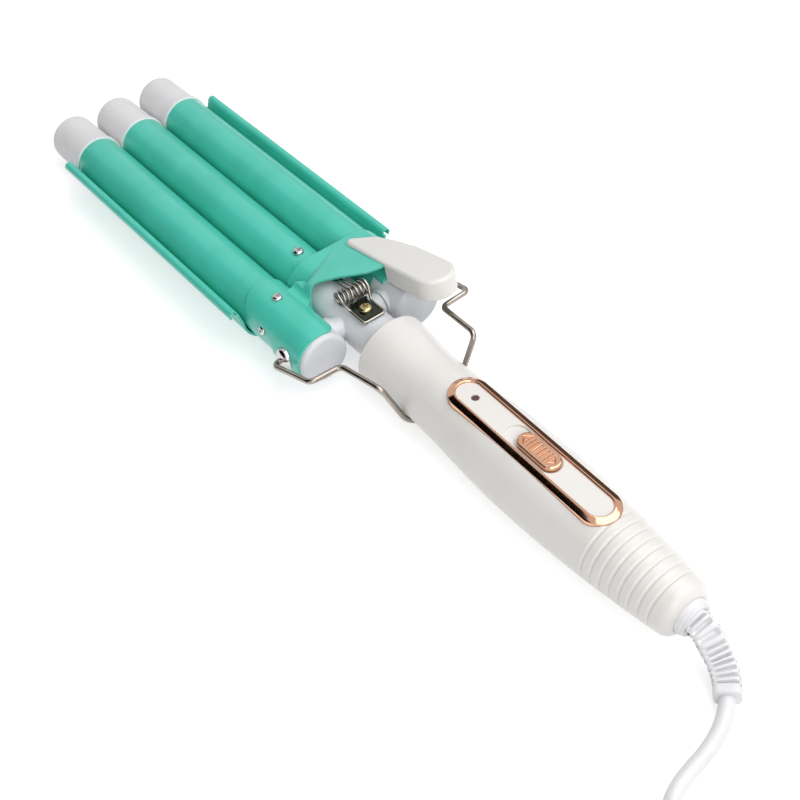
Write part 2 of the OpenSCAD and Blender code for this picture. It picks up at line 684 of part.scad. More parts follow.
// --- Stand -----------------------------------------------------------------
stand_clear = 2.4;
stand_y = pitch + sleeve_out + stand_clear + stand_bend;
stand_in_y = pitch + 1.6;
stand_cradle_y = stand_in_y - 2.2;
stand_knee_y = stand_y - 1.9;
stand_knee_run = 0.7;
stand_x1 = pivot_x + stand_reach / 2;
stand_x2 = pivot_x + stand_reach;
stand_z1 = pivot_rise + 6.7;
stand_z2 = stand_z1 + 3.1;
cradle_gap = 0.15;
cradle_s = stand_x2 - rim_x;
cradle_z = along_handle(cradle_s, 0).z;
cradle_r = handle_r(cradle_s) + wire_r + cradle_gap;
cradle_far = norm([stand_cradle_y, stand_z2 - cradle_z]);
cradle_angle = atan2(stand_z2 - cradle_z, stand_cradle_y) - acos(cradle_r / cradle_far);
stand_pin_end = stand_y - stand_bend - 0.4;
stand_half = [[pivot_x, stand_pin_end - over, pivot_rise], [pivot_x, stand_y, pivot_rise],
    [stand_x1, stand_knee_y, stand_z1], [stand_x1 + stand_knee_run, stand_in_y, stand_z1 + fit],
    [stand_x2, stand_cradle_y, stand_z2]];
function across(p) = [p.x, -p.y, p.z];
stand_route = concat([for (p = stand_half) across(p)],
    [[stand_x2, 0, cradle_z + cradle_r / sin(cradle_angle)]], flip(stand_half));
stand_bends = [0, stand_bend, stand_bend, stand_bend, stand_bend, cradle_r,
    stand_bend, stand_bend, stand_bend, stand_bend, 0];
stand_steps = [0, 5, 5, 5, 4, 14, 4, 5, 5, 5, 0];
// The bent run starts slim inside each straight pin
slim = 0.8;
wire_sides = 12;
module stand_wire() lay() color(steel) {
    path = bent(stand_route, stand_bends, stand_steps);
    last = len(path) - 1;
    tube(path, [for (i = [0 : last]) i == 0 || i == last ? wire_r * slim : wire_r], wire_sides, [0, 0, 1]);
    for (side = [-1, 1]) mirrored(side) at_pivot() along_y(pitch + shank_from + 3, stand_pin_end, wire_r);
}

// --- Handle ------------------------------------------------------------------
panel_h = belly_r - 1.3;
panel_w = bezel_w - 2 * bezel_band;
tail_bore = 7.4;
tail_wall = 6;
rim_lip = 1.6;
rim_chamfer = 0.6;
rim_face = 2.2;
outline_steps = 32;
groove_r = 0.9;
groove_out = 0.45;
groove_from = 8;
pocket_depth = 7;
module stadium(len, w) {
    translate([w / 2, 0]) circle(d = w);
    translate([len - w / 2, 0]) circle(d = w);
    translate([w / 2, -w / 2]) square([len - w, w]);
}
function handle_outline(inset, s0, s1) = [for (i = [0 : outline_steps])
    let (s = s0 + (s1 - s0) * i / outline_steps)
    [handle_r(s) - inset, s]];
module handle_solid() rotate([0, 90, 0]) rotate_extrude() polygon(concat(
    [[0, 0], [rim_r - rim_chamfer, 0], [rim_r, rim_chamfer]],
    handle_outline(0, 3 * rim_chamfer, handle_len - tail_edge),
    [for (a = [15 : 15 : 90]) let (r1 = handle_r(handle_len - tail_edge))
        [r1 - tail_edge + tail_edge * cos(a), handle_len - tail_edge + tail_edge * sin(a)]],
    [[0, handle_len]]));
module handle_hollow() rotate([0, 90, 0]) rotate_extrude() polygon(concat(
    [[0, tail_wall]], handle_outline(handle_wall, tail_wall, handle_len - tail_wall),
    [[0, handle_len - tail_wall]]));
module handle_shell() lay() on_handle() color(warm_white) difference() {
    handle_solid();
    handle_hollow();
    // recessed front face round the neck
    along_x(-over, rim_lip, rim_r - rim_face);
    rotate([0, -handle_droop, 0]) translate([0, 0, axis_drop])
        along_x(-neck_in, neck_in + tail_wall, neck_r + fit);
    along_x(handle_len - 2 * tail_wall, handle_len + over, tail_bore + fit);
    // grip grooves
    for (i = [0 : groove_count - 1]) {
        s = handle_len - groove_from - i * groove_pitch;
        translate([s, 0, 0]) rotate([0, 90, 0]) rotate_extrude()
            translate([handle_r(s) + groove_out, 0]) circle(r = groove_r, $fn = 24);
    }
    translate([bezel_at, 0, panel_h - pocket_depth]) linear_extrude(belly_r)
        stadium(bezel_len, bezel_w + 2 * fit);
}

// --- Control panel: a bright bezel sunk in the handle, the panel in it, and under
// --- the panel the board with the lamp and the slide switch
bezel_depth = 6.5;
bezel_edge = 0.6;
bezel_lip = 0.5;
bezel_step = 0.7;
module bezel() lay() on_handle() color(rose_gold) translate([bezel_at, 0, 0]) difference() {
    union() {
        translate([0, 0, panel_h - bezel_depth]) linear_extrude(bezel_depth)
            stadium(bezel_len, bezel_w);
        translate([bezel_edge, 0, panel_h]) linear_extrude(bezel_lip)
            stadium(bezel_len - 2 * bezel_edge, bezel_w - 2 * bezel_edge);
    }
    translate([bezel_band, 0, panel_h - bezel_depth - over]) linear_extrude(belly_r)
        stadium(bezel_len - 2 * bezel_band, panel_w);
    translate([bezel_band - bezel_step, 0, panel_h]) linear_extrude(belly_r)
        stadium(bezel_len - 2 * (bezel_band - bezel_step), panel_w + 2 * bezel_step);
}
panel_t = 2.4;
panel_top = panel_h - 0.3;
board_top = panel_top - 11;
board_t = 1.6;
board_w = 14;
board_inset = 3;
post_r = 2.2;
post_at = 6.5;
led_s = bezel_at + 11.4;
led_r = 1.5;
led_low = 0.8;
button_s = bezel_at + 36;
button_h = 1.9;
button_gap = 0.5;
button_sunk = 0.5;
button_step = 0.4;
button_edge = 0.6;
recess_depth = 0.7;
// The button's stem goes down through a window in the panel into the switch
stem_half = 3;
stem_w = 3.8;
stem_len = 7.6;
window_half = 2.2;
window_len = 2 * stem_half + button_travel + 2 * button_gap;
window_s = button_s + button_len / 2 - stem_half - button_travel - button_gap;
// Six ribs across the button, and an arrow at each end
rib_count = 6;
rib_pitch = button_len * 0.0875;
rib_w = 0.7;
rib_len = 5.2;
rib_cut = 0.45;
arrow_tip = button_len / 2 - 1.8;
arrow_len = 2.6;
arrow_line = 1;
arrow_cut = 0.35;
body_inset = 2;
body_w = 9;
body_h = 5.2;
body_floor = 1.5;
module control_panel() lay() on_handle() color(warm_white) difference() {
    union() {
        translate([bezel_at + bezel_band + fit, 0, panel_top - panel_t]) linear_extrude(panel_t)
            stadium(bezel_len - 2 * (bezel_band + fit), panel_w - 2 * fit);
        for (s = [post_at, bezel_len - post_at]) translate([bezel_at + s, 0, board_top + fit])
            cylinder(h = panel_top - board_top - over, r = post_r);
    }
    translate([button_s - button_travel - button_gap, 0, panel_top - recess_depth])
        linear_extrude(panel_t)
            stadium(button_len + button_travel + 2 * button_gap, button_w + 2 * button_gap);
    translate([window_s, -window_half, panel_top - panel_t - over])
        cube([window_len, 2 * window_half, panel_t + 2 * over]);
    translate([led_s, 0, panel_top - panel_t - over]) cylinder(h = panel_t + 2 * over, r = led_r + fit);
}
module indicator_lens() lay() on_handle() color(dark_red)
    translate([led_s, 0, board_top + fit]) cylinder(h = panel_top - board_top - led_low, r = led_r);
module arrow(tip, len, half) polygon([[tip, 0], [tip - len, half], [tip - len, -half]]);
module switch_button() lay() on_handle() color(rose_gold)
    translate([button_s, 0, panel_top]) difference() {
        union() {
            translate([0, 0, -button_sunk]) linear_extrude(button_h + button_sunk - button_step)
                stadium(button_len, button_w);
            translate([button_edge, 0, 0]) linear_extrude(button_h)
                stadium(button_len - 2 * button_edge, button_w - 2 * button_edge);
            translate([button_len / 2 - stem_half, -stem_w / 2, -stem_len])
                cube([2 * stem_half, stem_w, stem_len]);
        }
        for (end = [-1, 1]) translate([button_len / 2, 0, button_h - arrow_cut])
            scale([end, 1, 1]) linear_extrude(over) difference() {
                arrow(arrow_tip, arrow_len, arrow_len);
                arrow(arrow_tip - arrow_line, arrow_len - 1.6 * arrow_line, arrow_len - 1.4 * arrow_line);
            }
        for (i = [0 : rib_count - 1])
            translate([button_len / 2 + (i - (rib_count - 1) / 2) * rib_pitch - rib_w / 2, -rib_len / 2,
                button_h - rib_cut]) cube([rib_w, rib_len, over]);
    }
module switch_body() lay() on_handle() color(switch_black) difference() {
    translate([button_s - button_travel + body_inset, -body_w / 2, board_top + fit])
        cube([button_len + button_travel - 2 * body_inset, body_w, body_h]);
    translate([window_s, -window_half, board_top + fit + body_floor])
        cube([window_len, 2 * window_half, body_h]);
}
module circuit_board() lay() on_handle() color(board_green)
    translate([bezel_at + board_inset, -board_w / 2, board_top - board_t])
        cube([bezel_len - 2 * board_inset, board_w, board_t]);

// --- Strain relief: a collar held in the handle's end, and a slotted boot -----
collar_in = 14;
collar_flange = 1.8;
collar_play = 0.4;
collar_face = 1.5;
collar_round = 0.6;
module cord_collar() lay() on_handle() translate([handle_len, 0, 0]) rotate([0, 90, 0])
    rotate_extrude() polygon([[0, -collar_in], [tail_bore + collar_flange, -collar_in],
        [tail_bore + collar_flange, -tail_wall - collar_play], [tail_bore, -tail_wall - collar_play],
        [tail_bore, collar_face], [tail_bore - collar_round, collar_face + collar_round],
        [tail_bore - collar_round, collar_out], [0, collar_out]]);

// --- Cord: route points chosen by hand, in the part's own frame ---------------
// The whole lead keeps its place at the collar when a size is changed
collar_at = placed(along_handle(handle_len + collar_out, 0));
handle_way = unit(collar_at - placed(along_handle(handle_len, 0)));
lead_from = 191.5;
lead_shift = [round(10 * (collar_at.x - lead_from)) / 10, 0, 0];
function moved(v) = [for (p = v) p + lead_shift];
boot_route = concat([collar_at - handle_way, collar_at + handle_way], moved([[196, 0, 15],
    [200, -0.2, 11.6], [204, -0.9, 9], [208, -2.6, 7.4], [211.6, -5.2, 6.4], [214.4, -8.2, 6]]));
cord_route = moved([[214.4, -8.2, 6], [215.1, -8.95, 5.9], [217.2, -12, 5.3], [219.6, -16.4, 4.4],
    [221.4, -21.6, 3.6], [222.7, -27.5, 3.1], [223.6, -34, 3], [225.2, -41.5, 3], [228.4, -48.5, 3],
    [233.2, -54.3, 3], [239.5, -58.2, 3], [247, -59.8, 3], [256, -60, 3], [266, -60, 3], [277, -60, 3],
    [288, -60, 3], [300, -60, 3]]);
cord_sides = 8;
boot_sides = 12;
boot_r = 5.5;
boot_end_r = 4.5;
boot_core = 3.9;
boot_post = 3.4;
// Slots, and the square block at the boot's end, by their place along the route
slot_w = 1.2;
slot_count = 9;
slot_first = 1.25;
slot_step = 0.56;
end_block_w = 9.6;
end_block_len = 3.4;
end_block_at = 6.95;
function spot(p, k) = let (i = min(floor(k), len(p) - 2)) p[i] + (p[i + 1] - p[i]) * (k - i);
module at_route(p, k) {
    o = spot(p, k);
    t = unit(spot(p, k + 0.05) - spot(p, k - 0.05));
    v = unit(cross([0, 0, 1], t));
    n = cross(t, v);
    multmatrix([[n.x, v.x, t.x, o.x], [n.y, v.y, t.y, o.y], [n.z, v.z, t.z, o.z], [0, 0, 0, 1]])
        children();
}
module boot_slot(k, side) at_route(boot_route, k) rotate([0, 0, side])
    translate([boot_core, -boot_post, -slot_w / 2]) cube([boot_r, 2 * boot_post, slot_w]);
module strain_relief() color(cord_white) difference() {
    last = len(boot_route) - 1;
    union() {
        cord_collar();
        tube(boot_route, [for (i = [0 : last]) boot_r - (boot_r - boot_end_r) * i / last],
            boot_sides, [0, 0, 1]);
        at_route(boot_route, end_block_at)
            translate([-end_block_w / 2, -end_block_w / 2, -end_block_len])
                cube([end_block_w, end_block_w, end_block_len]);
    }
    for (i = [0 : slot_count - 1]) for (side = [0, 180])
        boot_slot(slot_first + i * slot_step, side);
    for (i = [0 : slot_count - 2]) for (side = [90, 270])
        boot_slot(slot_first + (i + 0.5) * slot_step, side);
}
module power_cord() color(cord_white) tube(cord_route, cord_d / 2, cord_sides, [0, 0, 1]);

// Coil: a spiral in on the table, a climb, and a spiral out on top of it
coil_turns = 8.25;
coil_rings = 24;
coil_mid = 30;
coil_pitch = cord_d + 0.55;
coil_cord_sides = 6;
coil_start = cord_route[len(cord_route) - 1];
coil_high = coil_mid + coil_pitch * coil_turns / 4;
coil_centre = coil_start + [cord_d, coil_high, 0];
function coil_rise(t) = let (k = (t - coil_turns / 2) * 2 + 0.5)
    coil_pitch * (k <= 0 ? 0 : k >= 1 ? 1 : (1 - cos(180 * k)) / 2);
function coil_ring(t) = let (r = coil_high - coil_pitch * min(t, coil_turns - t), a = 270 + 360 * t)
    coil_centre + [r * cos(a), r * sin(a), coil_rise(t)];
coil_steps = coil_turns * coil_rings;
coil_path = concat([coil_start], [for (i = [0 : coil_steps]) coil_ring(i / coil_rings)],
    [coil_ring(coil_turns) + [0, cord_d, 0]]);
coil_exit = coil_path[len(coil_path) - 1];
echo(coil_least_gap = least_gap(coil_path, cord_d / 2, 4), coil_exit = coil_exit,
    coil_centre = coil_centre);
module cord_coil() color(cord_white) tube(coil_path, cord_d / 2, coil_cord_sides, [0, 0, 1]);

// --- Two-pin plug, lying flat beside the coil with its pins along +Y ------------
plug_thick = 13.6;
plug_half = 17.6;
plug_boot = 29;
plug_len = 33;
plug_neck_half = 6;
plug_neck_thick = 10;
plug_shoulder = [10, 3];
plug_flare = [13, 16];
plug_bevel = 1;
plug_boot_step = 0.5;
plug_boot_swell = 1.5;
plug_boot_rings = 4;
pin_r = 2;
pin_root_r = 1.6;
pin_root = 11.9;
pin_len = 19;
pin_tip = 0.8;
pin_fit = 0.05;
pin_apart = 18.6;
plug_z = plug_thick / 2 + 0.2;
plug_y = coil_exit.y + fit;
plug_face = plug_boot + plug_len;
// Half outlines, seen from above and from the side, as [half width, distance back]
plug_plan = [[plug_neck_half, 0], plug_shoulder, [plug_half - plug_bevel, plug_flare[0]],
    [plug_half, plug_flare[1]], [plug_half, plug_len - plug_bevel],
    [plug_half - plug_bevel, plug_len]];
plug_side = [[plug_neck_thick / 2, 0], [plug_thick / 2, plug_shoulder.y],
    [plug_thick / 2, plug_len - plug_bevel], [plug_thick / 2 - plug_bevel, plug_len]];
module both_halves(half) translate([0, plug_boot])
    polygon(concat(half, flip([for (p = half) [-p.x, p.y]])));
module mains_plug() color(cord_white) translate([coil_exit.x, plug_y, plug_z]) difference() {
    union() {
        intersection() {
            translate([0, 0, -plug_thick / 2]) linear_extrude(plug_thick) both_halves(plug_plan);
            rotate([0, -90, 0]) translate([0, 0, -block / 2]) linear_extrude(block)
                both_halves(plug_side);
        }
        tube([for (i = [0 : plug_boot_rings]) let (t = i / plug_boot_rings)
            [0, (plug_boot + 2) * t, (coil_exit.z - plug_z) * (1 + cos(180 * t)) / 2]],
            [for (i = [0 : plug_boot_rings])
                cord_d / 2 + plug_boot_step + plug_boot_swell * i / plug_boot_rings],
            boot_sides, [0, 0, 1]);
    }
    for (side = [-1, 1]) translate([side * pin_apart / 2, plug_face - pin_root - fit, 0])
        rotate([-90, 0, 0]) cylinder(h = pin_len, r = pin_root_r + pin_fit);
}
module plug_pins() color(brass) translate([coil_exit.x, plug_y + plug_face, plug_z])
    for (side = [-1, 1]) translate([side * pin_apart / 2, 0, 0]) rotate([-90, 0, 0])
        rotate_extrude() polygon([[0, -pin_root], [pin_root_r, -pin_root], [pin_root_r, pin_fit],
            [pin_r, pin_fit], [pin_r, pin_len - pin_tip], [pin_r - pin_tip, pin_len], [0, pin_len]]);

echo(tilt = lay_tilt, lift = lay_lift, mid = mid_x);
echo(pivot = placed([pivot_x, 0, pivot_rise]));
echo(tail = placed(along_handle(handle_len, 0)), collar = collar_at);
echo(plug = [coil_exit.x, plug_y + plug_face, plug_z]);
echo(cradle = placed([stand_x2, 0, cradle_z - cradle_r - wire_r]));

centre_barrel();
centre_cap();
centre_heater();
centre_screw();
wing_plate();
neck();
clamp_plate();
clamp_screw();
torsion_spring();
left_barrel();
right_barrel();
left_cap();
right_cap();
left_heater();
right_heater();
left_end_plug();
right_end_plug();
jaw_bracket();
jaw_screws();
left_rivet();
right_rivet();
thumb_lever();
stand_wire();
handle_shell();
bezel();
control_panel();
indicator_lens();
switch_button();
switch_body();
circuit_board();
strain_relief();
power_cord();
cord_coil();
mains_plug();
plug_pins();
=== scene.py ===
"""Studio scene of a corded three-barrel hair waver.

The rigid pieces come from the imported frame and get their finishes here. The
lead, the strain relief, the bent wires, the bright bezel and the slide button
are modelled here, in the places that their frame solids hold.
"""

from __future__ import annotations

import logging
import math
from dataclasses import dataclass, field
from enum import Enum
from typing import Callable, Sequence

import bmesh
import bpy
import numpy as np
from mathutils import Matrix, Vector


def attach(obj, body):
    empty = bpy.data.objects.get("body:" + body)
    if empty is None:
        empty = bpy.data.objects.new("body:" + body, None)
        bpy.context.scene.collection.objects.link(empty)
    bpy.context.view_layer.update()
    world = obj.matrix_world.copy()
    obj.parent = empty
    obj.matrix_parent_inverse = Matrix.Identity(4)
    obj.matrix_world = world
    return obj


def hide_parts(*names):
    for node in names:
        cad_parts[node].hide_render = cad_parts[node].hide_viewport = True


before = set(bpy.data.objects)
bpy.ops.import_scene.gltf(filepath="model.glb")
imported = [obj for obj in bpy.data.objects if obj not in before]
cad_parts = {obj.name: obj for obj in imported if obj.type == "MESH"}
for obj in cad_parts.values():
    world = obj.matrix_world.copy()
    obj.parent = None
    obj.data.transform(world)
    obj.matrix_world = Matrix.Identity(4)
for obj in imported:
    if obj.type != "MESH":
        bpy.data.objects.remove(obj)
MM = 0.001
LOG = logging.getLogger("hair_waver")
Point = Sequence[float]


# --- Colour and shader helpers -------------------------------------------------
def linear(tint: str, alpha: float = 1.0) -> tuple[float, float, float, float]:
    """Turns an sRGB hex colour into the linear colour that shaders take.

    Args:
        tint: The colour as "#rrggbb".
        alpha: The fourth value of the result.

    Returns:
        Red, green, blue and alpha, linear.
    """
    parts = [int(tint[i : i + 2], 16) / 255 for i in (1, 3, 5)]
    red, green, blue = (c / 12.92 if c <= 0.04045 else ((c + 0.055) / 1.055) ** 2.4 for c in parts)
    return red, green, blue, alpha


def add(tree: bpy.types.NodeTree, kind: str, inputs: dict | None = None,
        **settings: object) -> bpy.types.Node:
    """Adds a node, sets its properties, and sets or links its inputs.

    Args:
        tree: The node tree that gets the node.
        kind: Blender's name of the node type.
        inputs: Input name or index to a value, or to the output socket that feeds it.
        settings: The node's own properties.

    Returns:
        The new node.
    """
    node = tree.nodes.new(kind)
    for name, value in settings.items():
        setattr(node, name, value)
    for name, value in (inputs or {}).items():
        if isinstance(value, bpy.types.NodeSocket):
            tree.links.new(value, node.inputs[name])
        else:
            node.inputs[name].default_value = value
    return node


class Grain(Enum):
    """How a surface was made, which sets its small relief."""

    MOULDED = "spark-eroded tool texture, soft and even"
    SPRAYED = "sprayed and baked coat with a faint orange peel"
    PLATED = "bright plating, smooth with a trace of smudging"
    DRAWN = "drawn through a die, with fine lines"
    GROUND = "ground sheet, with short scratches"


@dataclass(frozen=True)
class Finish:
    """One real material, its colours, and the way its surface was made."""

    name: str
    tint: str
    second_tint: str
    grain: Grain
    grain_mm: float
    depth_mm: float
    roughness: float
    roughness_swing: float = 0.05
    metallic: float = 0.0
    ior: float = 1.5
    coat: float = 0.0
    coat_roughness: float = 0.08
    subsurface_mm: float = 0.0
    edge_mm: float = 0.15
    # tint of a painted highlight along sharp edges; empty for none
    edge_highlight_tint: str = ""
    blotch_mm: float = 18.0

    def material(self) -> bpy.types.Material:
        """Builds the shader.

        Returns:
            The material, named for the real one.
        """
        made = bpy.data.materials.new(self.name)
        made.use_nodes = True
        tree = made.node_tree
        tree.nodes.clear()
        place = add(tree, "ShaderNodeTexCoord").outputs["Object"]
        blotch = add(tree, "ShaderNodeTexNoise", {"Vector": place, "Scale": 1 / (self.blotch_mm * MM),
                                                  "Detail": 2.0})
        fine = self._fine(tree, place)
        # the two tints stand for thin and full colour, and drift across the piece
        spread = add(tree, "ShaderNodeMapRange", {"Value": blotch.outputs["Fac"], 1: 0.25, 2: 0.75},
                     interpolation_type="SMOOTHERSTEP")
        colour = add(tree, "ShaderNodeMix", {"Factor": spread.outputs[0], "A": linear(self.tint),
                                             "B": linear(self.second_tint)}, data_type="RGBA")
        shade = colour.outputs["Result"]
        soft = add(tree, "ShaderNodeBevel", {"Radius": self.edge_mm * MM}, samples=4)
        if self.edge_highlight_tint:
            # painted highlight: a lighter tint is mixed in where the bevelled normal turns from the flat one,
            # along the sheet's edges, standing in for the glint of light there
            flat = add(tree, "ShaderNodeNewGeometry")
            match = add(tree, "ShaderNodeVectorMath", {0: soft.outputs[0], 1: flat.outputs["Normal"]},
                        operation="DOT_PRODUCT")
            edge = add(tree, "ShaderNodeMapRange",
                       {"Value": match.outputs["Value"], 1: 0.97, 2: 0.8, 3: 0.0, 4: 0.7})
            highlit = add(tree, "ShaderNodeMix", {"Factor": edge.outputs[0], "A": shade,
                                               "B": linear(self.edge_highlight_tint)}, data_type="RGBA")
            shade = highlit.outputs["Result"]
        relief = add(tree, "ShaderNodeBump", {"Height": fine, "Distance": self.depth_mm * MM, "Strength": 1.0,
                                              "Normal": soft.outputs[0]})
        rough = add(tree, "ShaderNodeMapRange", {"Value": blotch.outputs["Fac"], 1: 0.2, 2: 0.8,
                                                 3: max(0.02, self.roughness - self.roughness_swing),
                                                 4: self.roughness + self.roughness_swing},
                    interpolation_type="SMOOTHERSTEP")
        values: dict = {"Base Color": shade, "Roughness": rough.outputs[0], "Normal": relief.outputs[0],
                        "Metallic": self.metallic, "Coat Weight": self.coat,
                        "Coat Roughness": self.coat_roughness}
        if not self.metallic:
            values["IOR"] = self.ior
        if self.subsurface_mm:
            values.update({"Subsurface Weight": 0.25, "Subsurface Radius": (1.0, 0.9, 0.8),
                           "Subsurface Scale": self.subsurface_mm * MM})
        shader = add(tree, "ShaderNodeBsdfPrincipled", values)
        add(tree, "ShaderNodeOutputMaterial", {"Surface": shader.outputs[0]})
        return made

    def _fine(self, tree: bpy.types.NodeTree, place: bpy.types.NodeSocket) -> bpy.types.NodeSocket:
        """Adds the small relief of the grain.

        Args:
            tree: The material's node tree.
            place: The coordinates that the pattern follows.

        Returns:
            The socket that gives the relief's height.
        """
        per_metre = 1 / (self.grain_mm * MM)
        if self.grain in (Grain.DRAWN, Grain.GROUND):
            stretch = 0.08 if self.grain is Grain.DRAWN else 0.2
            place = add(tree, "ShaderNodeMapping", {"Vector": place, "Scale": (stretch, 1.0, 1.0)}).outputs[0]
        detail = {Grain.MOULDED: 3.0, Grain.SPRAYED: 1.0, Grain.PLATED: 0.0, Grain.DRAWN: 4.0,
                  Grain.GROUND: 5.0}[self.grain]
        noise = add(tree, "ShaderNodeTexNoise", {"Vector": place, "Scale": per_metre, "Detail": detail})
        return noise.outputs["Fac"]


# Grains and drawing lines are finer in life. They are drawn as coarse as they need to be to show.

# Pearl ceramic sprayed on aluminium and baked: satin, with a soft sheen over teal, and a painted highlight
# along its edges
CERAMIC_COAT = Finish("pearl_ceramic_coat", "#4cccb7", "#45c4ae", Grain.SPRAYED, 0.9, 0.006, 0.36, coat=0.35,
                      coat_roughness=0.22, edge_mm=0.25, edge_highlight_tint="#a4e8d9")
# Glass-filled PPS, which stands the barrel's heat: off-white, dull, slightly grainy
CAP_RESIN = Finish("glass_filled_pps", "#ebeaea", "#e4e3e4", Grain.MOULDED, 0.5, 0.02, 0.48, ior=1.6,
                   subsurface_mm=0.5, edge_mm=0.35)
# Heat-stabilised nylon of the neck and end plugs: cooler white than the handle
NECK_RESIN = Finish("heat_stabilised_nylon", "#dcdde0", "#d6d8dc", Grain.MOULDED, 0.8, 0.008, 0.38, ior=1.53,
                    subsurface_mm=0.6, edge_mm=0.4)
# Injection-moulded ABS with a polished tool: warm white and softly glossy
SHELL_RESIN = Finish("polished_abs", "#e9e6e2", "#e6e3de", Grain.MOULDED, 1.4, 0.006, 0.34, 0.03, ior=1.54,
                     subsurface_mm=0.6, edge_mm=0.4)
# Rose gold vacuum plating on ABS, under a clear lacquer
ROSE_PLATE = Finish("rose_gold_vacuum_plate", "#dcab8d", "#d3a083", Grain.PLATED, 4.0, 0.002, 0.09,
                    roughness_swing=0.02, metallic=1.0, coat=0.3, coat_roughness=0.04, edge_mm=0.1)
# Nickel-chrome plate on steel screws and rivet caps
CHROME_PLATE = Finish("nickel_chrome_plate", "#c9c8c6", "#bdbcba", Grain.PLATED, 3.0, 0.002, 0.12,
                      roughness_swing=0.04, metallic=1.0, edge_mm=0.08)
# Hard-drawn stainless wire: grey-brown, with lines along it
DRAWN_WIRE = Finish("hard_drawn_stainless_wire", "#a69e95", "#958d84", Grain.DRAWN, 0.35, 0.01, 0.26,
                    metallic=1.0, edge_mm=0.05)
# Oil-tempered wire of the return spring: darker, and brighter where it has rubbed
SPRING_WIRE = Finish("oil_tempered_spring_wire", "#a8a299", "#8b867d", Grain.DRAWN, 0.3, 0.006, 0.18,
                     metallic=1.0, edge_mm=0.04)
# Cold-rolled spring plate, bright enough to mirror what is over it; its dark green-grey colour is painted
# reflection of the dark parts over it
CLAMP_STEEL_PAINTED_REFLECTION = Finish("cold_rolled_spring_plate", "#3f443e", "#343832", Grain.GROUND, 0.4, 0.004, 0.16,
                     metallic=1.0, edge_mm=0.08)
# Yellow zinc passivated steel of the clamp screw
YELLOW_ZINC = Finish("yellow_zinc_passivate", "#c9bb95", "#a3905f", Grain.PLATED, 1.5, 0.004, 0.22,
                     metallic=1.0, edge_mm=0.08, blotch_mm=1.5)
# Nickelled brass of the turned plug pins
TURNED_BRASS = Finish("nickelled_brass", "#d8d2c4", "#cbc3b0", Grain.GROUND, 0.4, 0.004, 0.2, metallic=1.0)
# Extruded aluminium of the heater blocks, left as it comes from the die
HEATER_METAL = Finish("extruded_aluminium", "#c4c6c8", "#b4b7ba", Grain.DRAWN, 0.6, 0.02, 0.42, metallic=1.0)
# Red polycarbonate light pipe, dark because it is unlit
LIGHT_PIPE = Finish("red_polycarbonate", "#5a1219", "#4a0d13", Grain.MOULDED, 1.0, 0.002, 0.12, ior=1.585,
                    coat=0.5)
# Flexible PVC of the lead and its relief: white, silky, a little translucent
FLEX_PVC = Finish("flexible_pvc", "#eae9ea", "#e4e3e5", Grain.MOULDED, 0.9, 0.012, 0.42, ior=1.52,
                  subsurface_mm=0.8, edge_mm=0.25)
# The plug's harder PVC, from the same batch of white
PLUG_PVC = Finish("rigid_pvc", "#e8e7e8", "#e1e0e2", Grain.MOULDED, 0.7, 0.02, 0.4, ior=1.53,
                  subsurface_mm=0.5, edge_mm=0.6)
# Glass-epoxy laminate of the circuit board
LAMINATE = Finish("glass_epoxy_laminate", "#2f6b45", "#2a603e", Grain.SPRAYED, 0.6, 0.01, 0.3, coat=0.4)
# Black nylon of the slide switch's housing
SWITCH_NYLON = Finish("black_nylon", "#29292b", "#222224", Grain.MOULDED, 0.5, 0.02, 0.45, ior=1.53)

NODE_FINISHES: dict[str, Finish] = {
    **dict.fromkeys(["centre_barrel", "left_barrel", "right_barrel", "wing_plate", "jaw_bracket"],
                    CERAMIC_COAT),
    **dict.fromkeys(["centre_cap", "left_cap", "right_cap"], CAP_RESIN),
    **dict.fromkeys(["neck", "left_end_plug", "right_end_plug"], NECK_RESIN),
    **dict.fromkeys(["handle_shell", "control_panel", "thumb_lever"], SHELL_RESIN),
    **dict.fromkeys(["centre_screw", "jaw_screws", "left_rivet", "right_rivet"], CHROME_PLATE),
    **dict.fromkeys(["centre_heater", "left_heater", "right_heater"], HEATER_METAL),
    "clamp_plate": CLAMP_STEEL_PAINTED_REFLECTION, "clamp_screw": YELLOW_ZINC, "plug_pins": TURNED_BRASS,
    "indicator_lens": LIGHT_PIPE, "mains_plug": PLUG_PVC, "circuit_board": LAMINATE,
    "switch_body": SWITCH_NYLON,
}


@dataclass
class PaintShop:
    """Holds each finish's material once, and dresses pieces with it."""

    made: dict[str, bpy.types.Material] = field(default_factory=dict)

    def dress(self, piece: bpy.types.Object, finish: Finish) -> None:
        """Gives a piece one finish, in place of whatever it had.

        Args:
            piece: A mesh or curve object.
            finish: The finish that it gets.
        """
        if finish.name not in self.made:
            self.made[finish.name] = finish.material()
        piece.data.materials.clear()
        piece.data.materials.append(self.made[finish.name])


# --- Geometry helpers -------------------------------------------------------------
@dataclass(frozen=True)
class ToolFrame:
    """The tool's own millimetre frame: X from tips to lead, Z up, on the centre barrel's axis."""

    tilt: float = 2.01568
    lift: float = 12.3923
    middle: float = 160.412
    rim_x: float = 187.8
    axis_drop: float = 1.65
    droop: float = 2.4

    @property
    def lay(self) -> Matrix:
        """The move from the tool's millimetres to the row frame's metres."""
        turn = Matrix.Rotation(-math.radians(self.tilt), 4, "Y")
        return Matrix.Scale(MM, 4) @ Matrix.Translation((-self.middle, 0, self.lift)) @ turn

    @property
    def handle(self) -> Matrix:
        """The move from the handle's millimetres, counted from its rim, to the row frame's metres."""
        turn = Matrix.Rotation(math.radians(self.droop), 4, "Y")
        return self.lay @ Matrix.Translation((self.rim_x, 0, -self.axis_drop)) @ turn


def link(piece: bpy.types.Object) -> bpy.types.Object:
    """Puts a new object into the scene."""
    bpy.context.scene.collection.objects.link(piece)
    return piece


